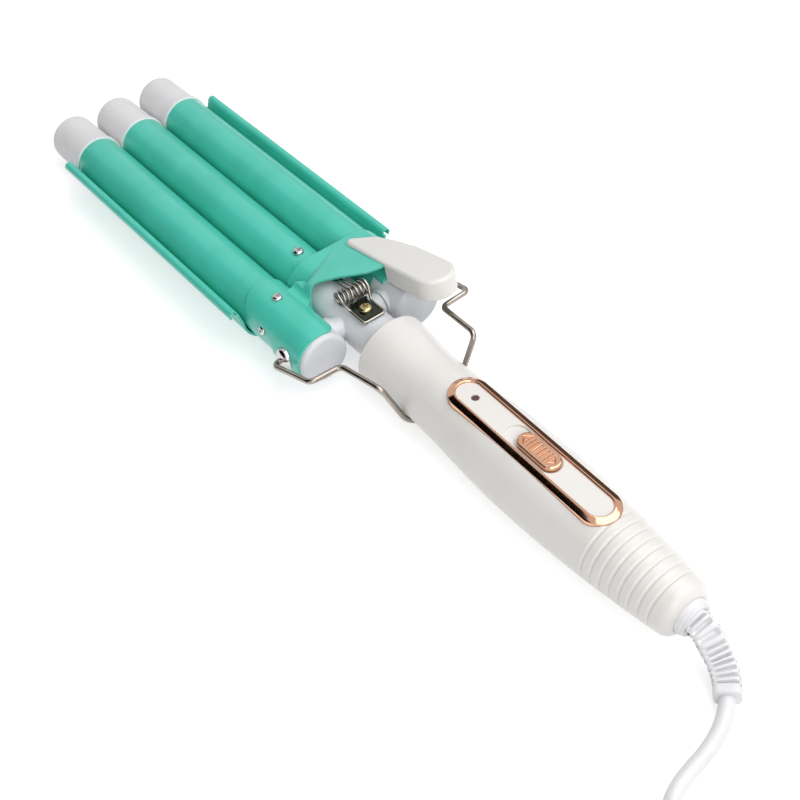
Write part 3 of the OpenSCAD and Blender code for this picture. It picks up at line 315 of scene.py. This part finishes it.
def mesh_piece(name: str, points: Sequence[Point], faces: Sequence[Sequence[int]], place: Matrix,
               sharp: float = 40.0) -> bpy.types.Object:
    """Makes a smooth-shaded mesh object.

    Args:
        name: The piece's name.
        points: Its points, in the frame that place starts from.
        faces: Its faces, as point numbers.
        place: The move to the row frame.
        sharp: Edges that turn by more than this many degrees stay crisp.

    Returns:
        The new object.
    """
    mesh = bpy.data.meshes.new(name)
    mesh.from_pydata([place @ Vector(p) for p in points], [], faces)
    shape = bmesh.new()
    shape.from_mesh(mesh)
    bmesh.ops.recalc_face_normals(shape, faces=shape.faces)
    shape.to_mesh(mesh)
    shape.free()
    mesh.polygons.foreach_set("use_smooth", [True] * len(mesh.polygons))
    mesh.set_sharp_from_angle(angle=math.radians(sharp))
    return link(bpy.data.objects.new(name, mesh))


def rounded(route: Sequence[Point], steps: int) -> list[Vector]:
    """Runs a smooth line through route points.

    Args:
        route: The points that the line passes.
        steps: Line pieces between two route points.

    Returns:
        The line's points, the route's own among them.
    """
    p = [Vector(q) for q in route]
    p = [2 * p[0] - p[1], *p, 2 * p[-1] - p[-2]]
    line = []
    for a, b, c, d in zip(p, p[1:], p[2:], p[3:]):
        for i in range(steps):
            t = i / steps
            line.append(0.5 * (2 * b + (c - a) * t + (2 * a - 5 * b + 4 * c - d) * t * t
                               + (3 * b - a - 3 * c + d) * t ** 3))
    return [*line, p[-2]]


def frames(line: Sequence[Vector], up: Vector) -> list[tuple[Vector, Vector]]:
    """Carries two cross directions along a line without twist.

    Args:
        line: The line's points.
        up: The direction that the first one is nearest to.

    Returns:
        For each point, the two unit directions across the line.
    """
    made = []
    for i in range(len(line)):
        ahead = (line[min(i + 1, len(line) - 1)] - line[max(i - 1, 0)]).normalized()
        up = (up - ahead * up.dot(ahead)).normalized()
        made.append((up, ahead.cross(up)))
    return made


def sweep(name: str, line: Sequence[Vector], up: Vector, sides: int, place: Matrix,
          reach: Callable[[int, float], float], sharp: float = 40.0) -> bpy.types.Object:
    """Sweeps a section along a line.

    Args:
        name: The piece's name.
        line: The section's centres.
        up: Where the section's zero angle points at the start.
        sides: Points round the section.
        place: The move to the row frame.
        reach: Distance from the centre, for a ring number and an angle in radians.
        sharp: Edges that turn by more than this many degrees stay crisp.

    Returns:
        The new object.
    """
    points, faces, rings = [], [], len(line)
    for i, (u, v) in enumerate(frames(line, up)):
        for k in range(sides):
            a = 2 * math.pi * k / sides
            points.append(line[i] + reach(i, a) * (math.cos(a) * u + math.sin(a) * v))
    for i in range(rings - 1):
        for k in range(sides):
            j, m = i + 1, (k + 1) % sides
            faces.append((i * sides + k, i * sides + m, j * sides + m, j * sides + k))
    faces += [tuple(range(sides)), tuple((rings - 1) * sides + k for k in range(sides))]
    return mesh_piece(name, points, faces, place, sharp)


def wire(name: str, line: Sequence[Vector], radius: float, place: Matrix) -> bpy.types.Object:
    """Makes a round wire or lead as one open spline with a bevel.

    Args:
        name: The piece's name.
        line: The centreline's points.
        radius: The wire's radius, in the row frame's metres.
        place: The move to the row frame.

    Returns:
        The new curve object.
    """
    curve = bpy.data.curves.new(name, "CURVE")
    curve.dimensions, curve.bevel_depth, curve.bevel_resolution, curve.use_fill_caps = "3D", radius, 5, True
    spline = curve.splines.new("POLY")
    spline.points.add(len(line) - 1)
    for point, p in zip(spline.points, line):
        point.co = (*(place @ p), 1)
    spline.use_smooth = True
    return link(bpy.data.objects.new(name, curve))


def stadium(length: float, width: float, around: int) -> list[tuple[float, float]]:
    """Points round a slot shape that starts at x = 0, evenly apart.

    Args:
        length: Overall length.
        width: Overall width.
        around: How many points.

    Returns:
        The points, counter-clockwise.
    """
    r, straight = width / 2, max(length - width, 1e-4)
    whole, made = 2 * straight + 2 * math.pi * r, []
    for i in range(around):
        s = whole * i / around
        if s < straight:
            made.append((r + s, -r))
        elif s < straight + math.pi * r:
            a = (s - straight) / r - math.pi / 2
            made.append((r + straight + r * math.cos(a), r * math.sin(a)))
        elif s < 2 * straight + math.pi * r:
            made.append((r + straight - (s - straight - math.pi * r), r))
        else:
            a = (s - 2 * straight - math.pi * r) / r + math.pi / 2
            made.append((r + r * math.cos(a), r * math.sin(a)))
    return made


def ease_shading(piece: bpy.types.Object, angle: float) -> None:
    """Smooths the shading of a frame solid without moving a point.

    Points that share a place get one normal where their faces turn by less
    than the angle, so curved walls look round and real edges stay crisp.

    Args:
        piece: A carried-over frame solid.
        angle: The turn, in degrees, above which an edge stays crisp.
    """
    mesh = piece.data
    loops = np.zeros(len(mesh.loops), np.int32)
    mesh.loops.foreach_get("vertex_index", loops)
    co = np.zeros(len(mesh.vertices) * 3)
    mesh.vertices.foreach_get("co", co)
    keys = np.round(co.reshape(-1, 3) * 1e6 / 2).astype(np.int64)
    _, group = np.unique(keys, axis=0, return_inverse=True)
    group = group.reshape(-1)[loops]
    normals = np.array([p.normal for p in mesh.polygons])
    counts = np.array([p.loop_total for p in mesh.polygons])
    owner = np.repeat(np.arange(len(counts)), counts)
    corner = np.array([math.pi / 2 if c == 4 else math.pi / 3 for c in counts])
    areas = np.array([p.area for p in mesh.polygons])
    order = np.argsort(group, kind="stable")
    starts = np.flatnonzero(np.r_[True, np.diff(group[order]) > 0, True])
    limit, out = math.cos(math.radians(angle)), np.zeros((len(loops), 3))
    for a, b in zip(starts, starts[1:]):
        members = order[a:b]
        near = normals[owner[members]]
        weight = areas[owner[members]] * corner[owner[members]]
        shared = (near @ near.T >= limit) @ (near * weight[:, None])
        out[members] = shared / np.maximum(np.linalg.norm(shared, axis=1, keepdims=True), 1e-12)
    mesh.polygons.foreach_set("use_smooth", [True] * len(mesh.polygons))
    mesh.normals_split_custom_set(out.tolist())


# --- Studio -----------------------------------------------------------------------
@dataclass
class Studio:
    """The camera, a pale floor, soft lamps and the dark flags that metal mirrors."""

    eye: tuple[float, float, float] = (0.342005, -0.226372, 0.409279)
    turn: tuple[float, float, float] = (42.5702, 2.0835, 51.5838)
    lens: float = 62.92215
    floor_tint: str = "#e9e9e9"
    floor_glow: float = 0.55
    room_tint: str = "#f4f6f8"
    room_level: float = 0.42

    def build(self) -> None:
        """Makes the camera, the floor and the lights."""
        self._camera()
        self._floor()
        self._room()
        aim = (0.05, 0.0, 0.0)
        self._lamp("overhead_softbox", place=(0.3, 0.3, 0.85), aim=aim, size=0.9, power=6.5)
        self._lamp("camera_side_softbox", place=(0.85, -0.4, 0.55), aim=aim, size=0.6, power=3.0)
        self._flag("left_flag", tint="#0c0b0b", corners=(
            (-1.0, -0.5, 0.02), (0.2, -1.0, 0.02), (0.15, -0.35, 0.85), (-0.8, -0.12, 0.8)))
        self._flag("far_flag", tint="#5c5652", corners=(
            (-0.9, 0.6, 0.02), (-0.9, 0.6, 0.2), (0.6, 0.6, 0.2), (0.6, 0.6, 0.02)))

    def _camera(self) -> None:
        """Sets the camera at the photograph's place and angle."""
        data = bpy.data.cameras.new("camera")
        data.lens, data.sensor_width, data.clip_start = self.lens, 36.0, 0.01
        camera = link(bpy.data.objects.new("camera", data))
        camera.location = self.eye
        camera.rotation_euler = [math.radians(a) for a in self.turn]
        bpy.context.scene.camera = camera
        bpy.context.scene.view_settings.view_transform = "Standard"

    def _floor(self) -> None:
        """Lays the pale floor, which glows to white for the eye and for mirrors only."""
        half = 4.0
        floor = mesh_piece("floor", [(-half, -half, 0), (half, -half, 0), (half, half, 0), (-half, half, 0)],
                           [(0, 1, 2, 3)], Matrix.Identity(4))
        made = bpy.data.materials.new("white_sweep_paper")
        made.use_nodes = True
        tree = made.node_tree
        tree.nodes.clear()
        seen = self._seen(tree)
        paper = add(tree, "ShaderNodeBsdfDiffuse", {"Color": linear(self.floor_tint)})
        level = add(tree, "ShaderNodeMath", {0: seen, 1: self.floor_glow}, operation="MULTIPLY")
        glow = add(tree, "ShaderNodeEmission", {"Color": linear("#ffffff"), "Strength": level.outputs[0]})
        both = add(tree, "ShaderNodeAddShader", {0: paper.outputs[0], 1: glow.outputs[0]})
        add(tree, "ShaderNodeOutputMaterial", {"Surface": both.outputs[0]})
        floor.data.materials.append(made)

    @staticmethod
    def _seen(tree: bpy.types.NodeTree) -> bpy.types.NodeSocket:
        """Adds a value that is 1 for the eye, and for what metal and glass show.

        Args:
            tree: The node tree that gets it.

        Returns:
            The value's socket.
        """
        path = add(tree, "ShaderNodeLightPath")
        first = add(tree, "ShaderNodeMath", {0: path.outputs["Is Camera Ray"],
                                             1: path.outputs["Is Glossy Ray"]}, operation="MAXIMUM")
        return add(tree, "ShaderNodeMath", {0: first.outputs[0], 1: path.outputs["Is Transmission Ray"]},
                   operation="MAXIMUM").outputs[0]

    def _room(self) -> None:
        """Gives the world its soft light, and white where the eye and mirrors see it."""
        world = bpy.data.worlds.new("studio_room")
        bpy.context.scene.world = world
        world.use_nodes = True
        tree = world.node_tree
        tree.nodes.clear()
        level = add(tree, "ShaderNodeMix", {"Factor": self._seen(tree), "A": self.room_level, "B": 1.0})
        room = add(tree, "ShaderNodeBackground", {"Color": linear(self.room_tint),
                                                  "Strength": level.outputs["Result"]})
        add(tree, "ShaderNodeOutputWorld", {"Surface": room.outputs[0]})

    @staticmethod
    def _lamp(name: str, place: Point, aim: Point, size: float, power: float) -> None:
        """Hangs one soft area lamp.

        Args:
            name: The lamp's name.
            place: Where it hangs.
            aim: The point that it faces.
            size: Its side, in metres.
            power: Its power, in watts.
        """
        data = bpy.data.lights.new(name, "AREA")
        data.size, data.energy = size, power
        lamp = link(bpy.data.objects.new(name, data))
        lamp.location = place
        lamp.rotation_euler = (Vector(aim) - Vector(place)).to_track_quat("-Z", "Y").to_euler()

    @staticmethod
    def _flag(name: str, corners: Sequence[Point], tint: str) -> None:
        """Stands a dark card that only mirrors show.

        Args:
            name: The card's name.
            corners: Its four corners.
            tint: Its colour.
        """
        card = mesh_piece(name, corners, [(0, 1, 2, 3)], Matrix.Identity(4))
        made = bpy.data.materials.new(f"{name}_velvet")
        made.use_nodes = True
        made.node_tree.nodes.clear()
        cloth = add(made.node_tree, "ShaderNodeEmission", {"Color": linear(tint)})
        add(made.node_tree, "ShaderNodeOutputMaterial", {"Surface": cloth.outputs[0]})
        card.data.materials.append(made)
        card.visible_camera = card.visible_diffuse = False
        card.visible_shadow = card.visible_transmission = False


# --- Lead ---------------------------------------------------------------------------
@dataclass
class Lead:
    """The mains lead: out of the relief, along the table, and wound into a neat coil."""

    thick: float = 5.6
    route: tuple[tuple[float, float, float], ...] = (
        (0.2144, -0.0082, 0.006), (0.2151, -0.00895, 0.0059), (0.2172, -0.012, 0.0053),
        (0.2196, -0.0164, 0.0044), (0.2214, -0.0216, 0.0036), (0.2227, -0.0275, 0.0031),
        (0.2236, -0.034, 0.003), (0.2252, -0.0415, 0.003),
        (0.2284, -0.0485, 0.003), (0.2332, -0.0543, 0.003), (0.2395, -0.0582, 0.003), (0.247, -0.0598, 0.003),
        (0.256, -0.06, 0.003), (0.266, -0.06, 0.003), (0.277, -0.06, 0.003), (0.288, -0.06, 0.003),
        (0.3, -0.06, 0.003))
    turns: float = 8.25
    middle_radius: float = 30.0
    gap: float = 0.55
    per_turn: int = 48

    def coil(self) -> list[Vector]:
        """Winds the coil: a spiral in on the table, a climb, and a spiral out on top.

        Returns:
            The coil's centreline, from the route's end to the plug.
        """
        pitch = (self.thick + self.gap) * MM
        widest = self.middle_radius * MM + pitch * self.turns / 4
        start = Vector(self.route[-1])
        centre = start + Vector((self.thick * MM, widest, 0))
        line = []
        for i in range(int(self.turns * self.per_turn) + 1):
            t = i / self.per_turn
            radius = widest - pitch * min(t, self.turns - t)
            climb = min(max((t - self.turns / 2) * 2 + 0.5, 0), 1)
            a = 2 * math.pi * (0.75 + t)
            line.append(centre + Vector((radius * math.cos(a), radius * math.sin(a),
                                         pitch * (1 - math.cos(math.pi * climb)) / 2)))
        return [*line, line[-1] + Vector((0, self.thick * MM, 0))]

    def build(self, shop: PaintShop) -> None:
        """Makes the lead, in place of its two frame solids.

        Args:
            shop: What dresses it.
        """
        line = [*rounded(self.route, 4), *self.coil()]
        lead = wire("mains_lead", line, self.thick / 2 * MM, Matrix.Identity(4))
        shop.dress(lead, FLEX_PVC)
        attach(lead, "handle")
        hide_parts("power_cord", "cord_coil")


@dataclass
class StrainRelief:
    """The relief: a collar in the handle's end, and a square boot slotted from four sides."""

    collar_r: float = 7.4
    collar_out: float = 3.4
    root_r: float = 5.5
    tip_half: float = 4.7
    core: float = 3.35
    slots: int = 10
    slot_share: float = 0.56
    pitch: float = 2.4
    roll: float = 28.0
    handle_end: float = 160.8
    # the section goes from nearly round at the root to nearly square
    round_power: float = 2.2
    power_gain: float = 2.6
    power_rate: float = 2.5
    tip_start: float = 0.985
    tip_round: float = 0.5
    slots_from: float = 0.1
    slots_to: float = 0.9
    slot_reach: float = 0.74
    slot_wall: float = 0.22
    route: tuple[tuple[float, float, float], ...] = (
        (0.196, 0, 0.015), (0.2, -0.0002, 0.0116), (0.204, -0.0009, 0.009), (0.208, -0.0026, 0.0074),
        (0.2116, -0.0052, 0.0064), (0.2144, -0.0082, 0.006))

    def build(self, shop: PaintShop, tool: ToolFrame) -> None:
        """Makes the boot and its collar, in place of the frame solid.

        Args:
            shop: What dresses them.
            tool: Where the tool lies.
        """
        start = tool.handle @ Vector((self.handle_end + self.collar_out - 0.6, 0, 0))
        way = (tool.handle.to_3x3() @ Vector((1, 0, 0))).normalized()
        line = rounded([start, start + way * 1.2 * MM, *self.route], 32)
        total = len(line) - 1
        lean = math.radians(self.roll)
        top = Vector((0, -math.sin(lean), math.cos(lean)))
        boot = sweep("relief_boot", line, top, 96, Matrix.Identity(4),
                     lambda i, a: self._reach(i / total, a) * MM, sharp=50)
        profile = [(-6.3, 0), (-6.3, 7.3), (1.4, 7.4), (2.0, 7.25), (2.3, 6.95), (2.45, 6.8), (3.0, 6.8),
                   (3.25, 6.65), (3.4, 6.3), (3.4, 0.0)]
        rings = [tool.handle @ Vector((self.handle_end + x, 0, 0)) for x, _ in profile]
        collar = sweep("relief_collar", rings, Vector((0, 0, 1)), 72, Matrix.Identity(4),
                       lambda i, a: profile[i][1] * MM, sharp=30)
        for piece in (boot, collar):
            shop.dress(piece, FLEX_PVC)
            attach(piece, "handle")
        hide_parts("strain_relief")

    def _reach(self, s: float, a: float) -> float:
        """How far the boot's wall is from its middle, in millimetres.

        Args:
            s: Place along the boot, from 0 to 1.
            a: Angle round it, from its top.

        Returns:
            The distance.
        """
        size = self.root_r + (self.tip_half - self.root_r) * s
        power = self.round_power + self.power_gain * min(1.0, s * self.power_rate)
        c, d = abs(math.cos(a)), abs(math.sin(a))
        outer = size / (c ** power + d ** power) ** (1 / power)
        if s > self.tip_start:
            return outer - self.tip_round * (s - self.tip_start) / (1 - self.tip_start)
        first, last = self.slots_from, self.slots_to
        if not first < s < last:
            return outer
        beat = ((s - first) / (last - first) * self.slots + (0.0 if c > d else 0.5)) % 1.0
        # a slot's ends are round: how far this point is inside its outline, in millimetres
        half_wide, half_long = self.slot_share * self.pitch / 2, self.root_r * self.slot_reach
        along, across = abs(beat - 0.5) * self.pitch, min(c, d) * outer
        past = max(0.0, across - (half_long - half_wide))
        inside = half_wide - math.hypot(along, past)
        depth = min(1.0, max(0.0, inside / self.slot_wall))
        return outer - (outer - min(self.core / max(c, d), outer)) * depth


# --- Bent wires ---------------------------------------------------------------------
@dataclass
class ReturnSpring:
    """The double torsion spring: leg, coil, loop round the clamp plate, coil, leg."""

    wire_r: float = 0.6
    coil_r: float = 2.9
    pitch: float = 1.85
    turns: int = 3
    pivot_x: float = 166.0
    pad_top: float = 9.2
    leg_tip: float = 151.0
    leg_y: float = 1.0
    per_turn: int = 32
    coil_back: float = 1.4
    coil_clear: float = 0.15
    plate_back: float = 7.3
    plate_clear: float = 0.05
    plate_half: tuple[float, float] = (5.2, 4.2)
    loop_clear: float = 0.3

    def half(self, side: int) -> list[Vector]:
        """Traces one half, from its leg's tip to the loop's middle.

        Args:
            side: -1 for the left half, 1 for the right one.

        Returns:
            The half's centreline.
        """
        x, z = self.pivot_x - self.coil_back, self.pad_top + self.coil_clear + self.coil_r + self.wire_r
        plate_x, plate_z = self.pivot_x + self.plate_back, self.pad_top + self.plate_clear
        loop_x = plate_x + self.plate_half[0] + self.wire_r + self.loop_clear
        loop_y = self.plate_half[1] + self.wire_r + self.loop_clear
        low = plate_z + self.wire_r
        outer = self.leg_y + self.pitch * self.turns
        leg = [(self.leg_tip, self.leg_y, z + 0.2), (self.leg_tip + 4, self.leg_y, z + 0.9),
               (x - 3.8, self.leg_y, z + 1.8)]
        count = self.per_turn * self.turns
        coil = []
        for i in range(count + 1):
            k = i / count
            a = math.pi / 2 + 2 * math.pi * self.turns * k
            coil.append((x - self.coil_r * math.cos(a), self.leg_y + (outer - self.leg_y) * k,
                         z + self.coil_r * math.sin(a)))
        tail = [(x + 2.4, outer, z + self.coil_r * 0.4), (plate_x - 4.7, (outer + loop_y) / 2, plate_z + 2.4),
                (plate_x - 2.3, loop_y, low + 0.1), (loop_x - 1.4, loop_y, low),
                (loop_x - 0.4, loop_y - 0.4, low), (loop_x, loop_y - 1.4, low)]
        line = [*rounded([*leg, coil[0]], 6)[:-1], *(Vector(c) for c in coil[:-1]),
                *rounded([coil[-1], *tail], 6)]
        return [Vector((p.x, side * p.y, p.z)) for p in line]

    def build(self, shop: PaintShop, tool: ToolFrame) -> None:
        """Makes the spring, in place of its frame solid.

        Args:
            shop: What dresses it.
            tool: Where the tool lies.
        """
        spring = wire("return_spring", [*self.half(-1), *reversed(self.half(1))], self.wire_r * MM, tool.lay)
        shop.dress(spring, SPRING_WIRE)
        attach(spring, "handle")
        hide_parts("torsion_spring")


@dataclass
class RestStand:
    """The fold-out stand: one wire, hooked into both rivets and cradled under the handle."""

    wire_r: float = 1.2
    bend: float = 3.0
    pivot: tuple[float, float] = (166.0, 0.7)
    pin_end: float = 37.55
    reach: float = 47.0
    pin_grip: float = 5.0
    arm_out: float = 3.4
    arm_in: float = 1.9
    arm_rise: float = 6.7
    inner_y: float = 25.1
    leg_in: float = 2.2
    leg_rise: float = 3.1
    cradle_r: float = 15.75
    cradle_z: float = -2.71
    bend_step: float = 5.0

    def line(self) -> list[Vector]:
        """Bends the wire.

        Returns:
            The centreline, from the left pin to the right one.
        """
        x, z = self.pivot
        wide = self.pin_end + self.arm_out
        x1, x2, z1 = x + self.reach / 2, x + self.reach, z + self.arm_rise
        cradle_y, z2 = self.inner_y - self.leg_in, z1 + self.leg_rise
        far = math.hypot(cradle_y, z2 - self.cradle_z)
        lean = math.atan2(z2 - self.cradle_z, cradle_y) - math.acos(self.cradle_r / far)
        half = [(x, self.pin_end - self.pin_grip, z), (x, wide, z), (x1, wide - self.arm_in, z1),
                (x1 + 0.7, self.inner_y, z1 + 0.1), (x2, cradle_y, z2)]
        low = (x2, 0.0, self.cradle_z + self.cradle_r / math.sin(lean))
        route = [*(Vector((p[0], -p[1], p[2])) for p in half), Vector(low),
                 *(Vector(p) for p in reversed(half))]
        bends = [self.bend] * 4 + [self.cradle_r] + [self.bend] * 4
        made = [route[0]]
        for a, b, c, r in zip(route, route[1:], route[2:], bends):
            u, w = (b - a).normalized(), (c - b).normalized()
            turn = u.angle(w)
            e = (w - u * u.dot(w)).normalized()
            centre = b - u * (r * math.tan(turn / 2)) + e * r
            steps = max(6, int(math.degrees(turn) / self.bend_step))
            made += [centre - e * (r * math.cos(turn * i / steps)) + u * (r * math.sin(turn * i / steps))
                     for i in range(steps + 1)]
        return [*made, route[-1]]

    def build(self, shop: PaintShop, tool: ToolFrame) -> None:
        """Makes the stand, in place of its frame solid.

        Args:
            shop: What dresses it.
            tool: Where the tool lies.
        """
        stand = wire("rest_stand", self.line(), self.wire_r * MM, tool.lay)
        shop.dress(stand, DRAWN_WIRE)
        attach(stand, "stand")
        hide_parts("stand_wire")


# --- Control panel ----------------------------------------------------------------
@dataclass
class Bezel:
    """The bright ring round the panel: bevelled outwards, its lip lying on the panel's edge."""

    length: float = 84.5
    width: float = 16.4
    start: float = 40.0
    top: float = 15.5
    # the section, as distance in from the outer edge and height above the panel's seat:
    # a low outer wall, a bevel that rises inwards, a narrow crest, and a drop onto the panel
    section: tuple[tuple[float, float], ...] = (
        (0.0, -6.4), (0.0, -0.8), (0.05, -0.66), (0.18, -0.57), (0.6, -0.37), (1.2, -0.08), (1.8, 0.2),
        (2.2, 0.38), (2.38, 0.45), (2.56, 0.47), (2.74, 0.43), (2.9, 0.3), (3.05, 0.05), (3.1, -0.28),
        (2.4, -0.29), (2.4, -6.4))

    def build(self, shop: PaintShop, tool: ToolFrame) -> None:
        """Makes the ring, in place of its frame solid.

        Args:
            shop: What dresses it.
            tool: Where the tool lies.
        """
        around, points, faces, n = 360, [], [], len(self.section)
        for inset, height in self.section:
            ring = stadium(self.length - 2 * inset, self.width - 2 * inset, around)
            points += [(self.start + inset + x, y, self.top + height) for x, y in ring]
        for j in range(n):
            for i in range(around):
                a, b, k = j * around, (j + 1) % n * around, (i + 1) % around
                faces.append((a + i, a + k, b + k, b + i))
        ring = mesh_piece("panel_bezel", points, faces, tool.handle)
        shop.dress(ring, ROSE_PLATE)
        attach(ring, "handle")
        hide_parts("bezel")


@dataclass
class SlideButton:
    """The slide switch's button: a soft-edged slot shape with ribs and two arrows."""

    length: float = 20.0
    width: float = 8.2
    start: float = 76.0
    seat: float = 15.2
    height: float = 1.9
    edge: float = 0.7
    ribs: int = 6
    rib_pitch: float = 1.75
    patch: tuple[float, float] = (8.5, 3.0)
    cell: float = 0.085
    groove_half: float = 0.34
    groove_wall: float = 0.3
    groove_reach: float = 2.4
    groove_deep: float = 0.6
    arrow_tip: float = 8.2
    arrow_slope: float = 0.7
    arrow_len: float = 2.2
    arrow_half: float = 0.26
    stem: tuple[float, float] = (3.0, 1.9)
    stem_end: float = 7.6
    stem_start: float = 0.4

    def _cut(self, x: float, y: float) -> float:
        """How deep the top is cut at a point, in millimetres.

        Args:
            x: Distance from the button's middle along it.
            y: Distance from its middle across it.

        Returns:
            The depth of the groove there.
        """
        wall, depth = self.groove_wall, 0.0
        for i in range(self.ribs):
            off = self.groove_half - abs(x - (i - (self.ribs - 1) / 2) * self.rib_pitch)
            depth = max(depth, min(off, self.groove_reach - abs(y)) / wall)
        # an arrow's outline is what lies near the edge of a triangle
        u, v = self.arrow_tip - abs(x), abs(y)
        edge = abs(min((u - v) * self.arrow_slope, self.arrow_len - u))
        depth = max(depth, (self.arrow_half - edge) / wall if u > -0.3 else 0.0)
        return self.groove_deep * min(1.0, max(0.0, depth))

    def build(self, shop: PaintShop, tool: ToolFrame) -> None:
        """Makes the button, in place of its frame solid.

        Args:
            shop: What dresses it.
            tool: Where the tool lies.
        """
        insets = [(0.0, -0.5), (0.0, self.height - self.edge)]
        insets += [(self.edge * (1 - math.cos(a)), self.height - self.edge * (1 - math.sin(a)))
                   for a in (math.radians(d) for d in (15, 30, 45, 60, 75, 90))]
        # the top's middle is a fine grid, so that ribs and arrows have straight walls
        (px, py), mid, top = self.patch, self.length / 2, self.seat + self.height
        nx, ny = round(2 * px / self.cell), round(2 * py / self.cell)
        grid = [(mid + px * (2 * i / nx - 1), py * (2 * j / ny - 1))
                for j in range(ny + 1) for i in range(nx + 1)]
        points = [(self.start + x, y, top - self._cut(x - mid, y)) for x, y in grid]
        faces: list[tuple[int, ...]] = [
            (j * (nx + 1) + i, j * (nx + 1) + i + 1, (j + 1) * (nx + 1) + i + 1, (j + 1) * (nx + 1) + i)
            for j in range(ny) for i in range(nx)]
        rim = [*range(nx), *(j * (nx + 1) + nx for j in range(ny)),
               *(ny * (nx + 1) + i for i in range(nx, 0, -1)), *(j * (nx + 1) for j in range(ny, 0, -1))]
        around, first = len(rim), len(points)
        turns = [math.atan2(grid[k][1], grid[k][0] - mid) for k in rim]
        for inset, height in reversed(insets):
            for a in turns:
                x, y = self._edge(a, self.length / 2 - inset, self.width / 2 - inset)
                points.append((self.start + mid + x, y, self.seat + height))
        loops = [rim, *([first + n * around + i for i in range(around)] for n in range(len(insets)))]
        for inner, outer in zip(loops, loops[1:]):
            faces += [(inner[i], outer[i], outer[(i + 1) % around], inner[(i + 1) % around])
                      for i in range(around)]
        faces.append(tuple(loops[-1]))
        stem = len(points)
        points += [(self.start + mid + sx * self.stem[0], sy * self.stem[1], z)
                   for z in (self.seat - self.stem_end, self.seat - self.stem_start)
                   for sx, sy in ((-1, -1), (1, -1), (1, 1), (-1, 1))]
        faces += [tuple(stem + i for i in (0, 1, 2, 3)), tuple(stem + i for i in (4, 5, 6, 7))]
        faces += [(stem + i, stem + (i + 1) % 4, stem + 4 + (i + 1) % 4, stem + 4 + i) for i in range(4)]
        button = mesh_piece("slide_button", points, faces, tool.handle, sharp=35)
        shop.dress(button, ROSE_PLATE)
        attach(button, "slider")
        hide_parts("switch_button")

    @staticmethod
    def _edge(a: float, long: float, wide: float) -> tuple[float, float]:
        """Finds where a ray from the middle leaves a slot shape.

        Args:
            a: The ray's angle.
            long: Half the shape's length.
            wide: Half its width.

        Returns:
            The point on its outline.
        """
        c, s, centre = math.cos(a), math.sin(a), long - wide
        if abs(s) > 1e-9 and abs(c / s) * wide <= centre:
            return wide * c / abs(s), math.copysign(wide, s)
        reach = centre * abs(c) + math.sqrt(max(wide * wide - (centre * s) ** 2, 0.0))
        return reach * c, reach * s


@dataclass
class FrameSolids:
    """The rigid pieces carried over from the frame, dressed and softly shaded."""

    crisp: float = 28.0

    def build(self, shop: PaintShop) -> None:
        """Dresses every frame solid that stays in view.

        Args:
            shop: What dresses them.
        """
        for name, finish in NODE_FINISHES.items():
            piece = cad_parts[name]
            ease_shading(piece, self.crisp)
            shop.dress(piece, finish)
            LOG.info("%s: %s", name, finish.name)


def main() -> None:
    """Builds the studio and the tool, piece by piece, and logs each piece."""
    logging.basicConfig(level=logging.INFO, format="%(name)s %(message)s")
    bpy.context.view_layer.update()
    shop, tool = PaintShop(), ToolFrame()
    Studio().build()
    Lead().build(shop)
    for part in (StrainRelief(), ReturnSpring(), RestStand(), Bezel(), SlideButton()):
        part.build(shop, tool)
        LOG.info("%s made", type(part).__name__)
    FrameSolids().build(shop)


if __name__ == "__main__":
    main()
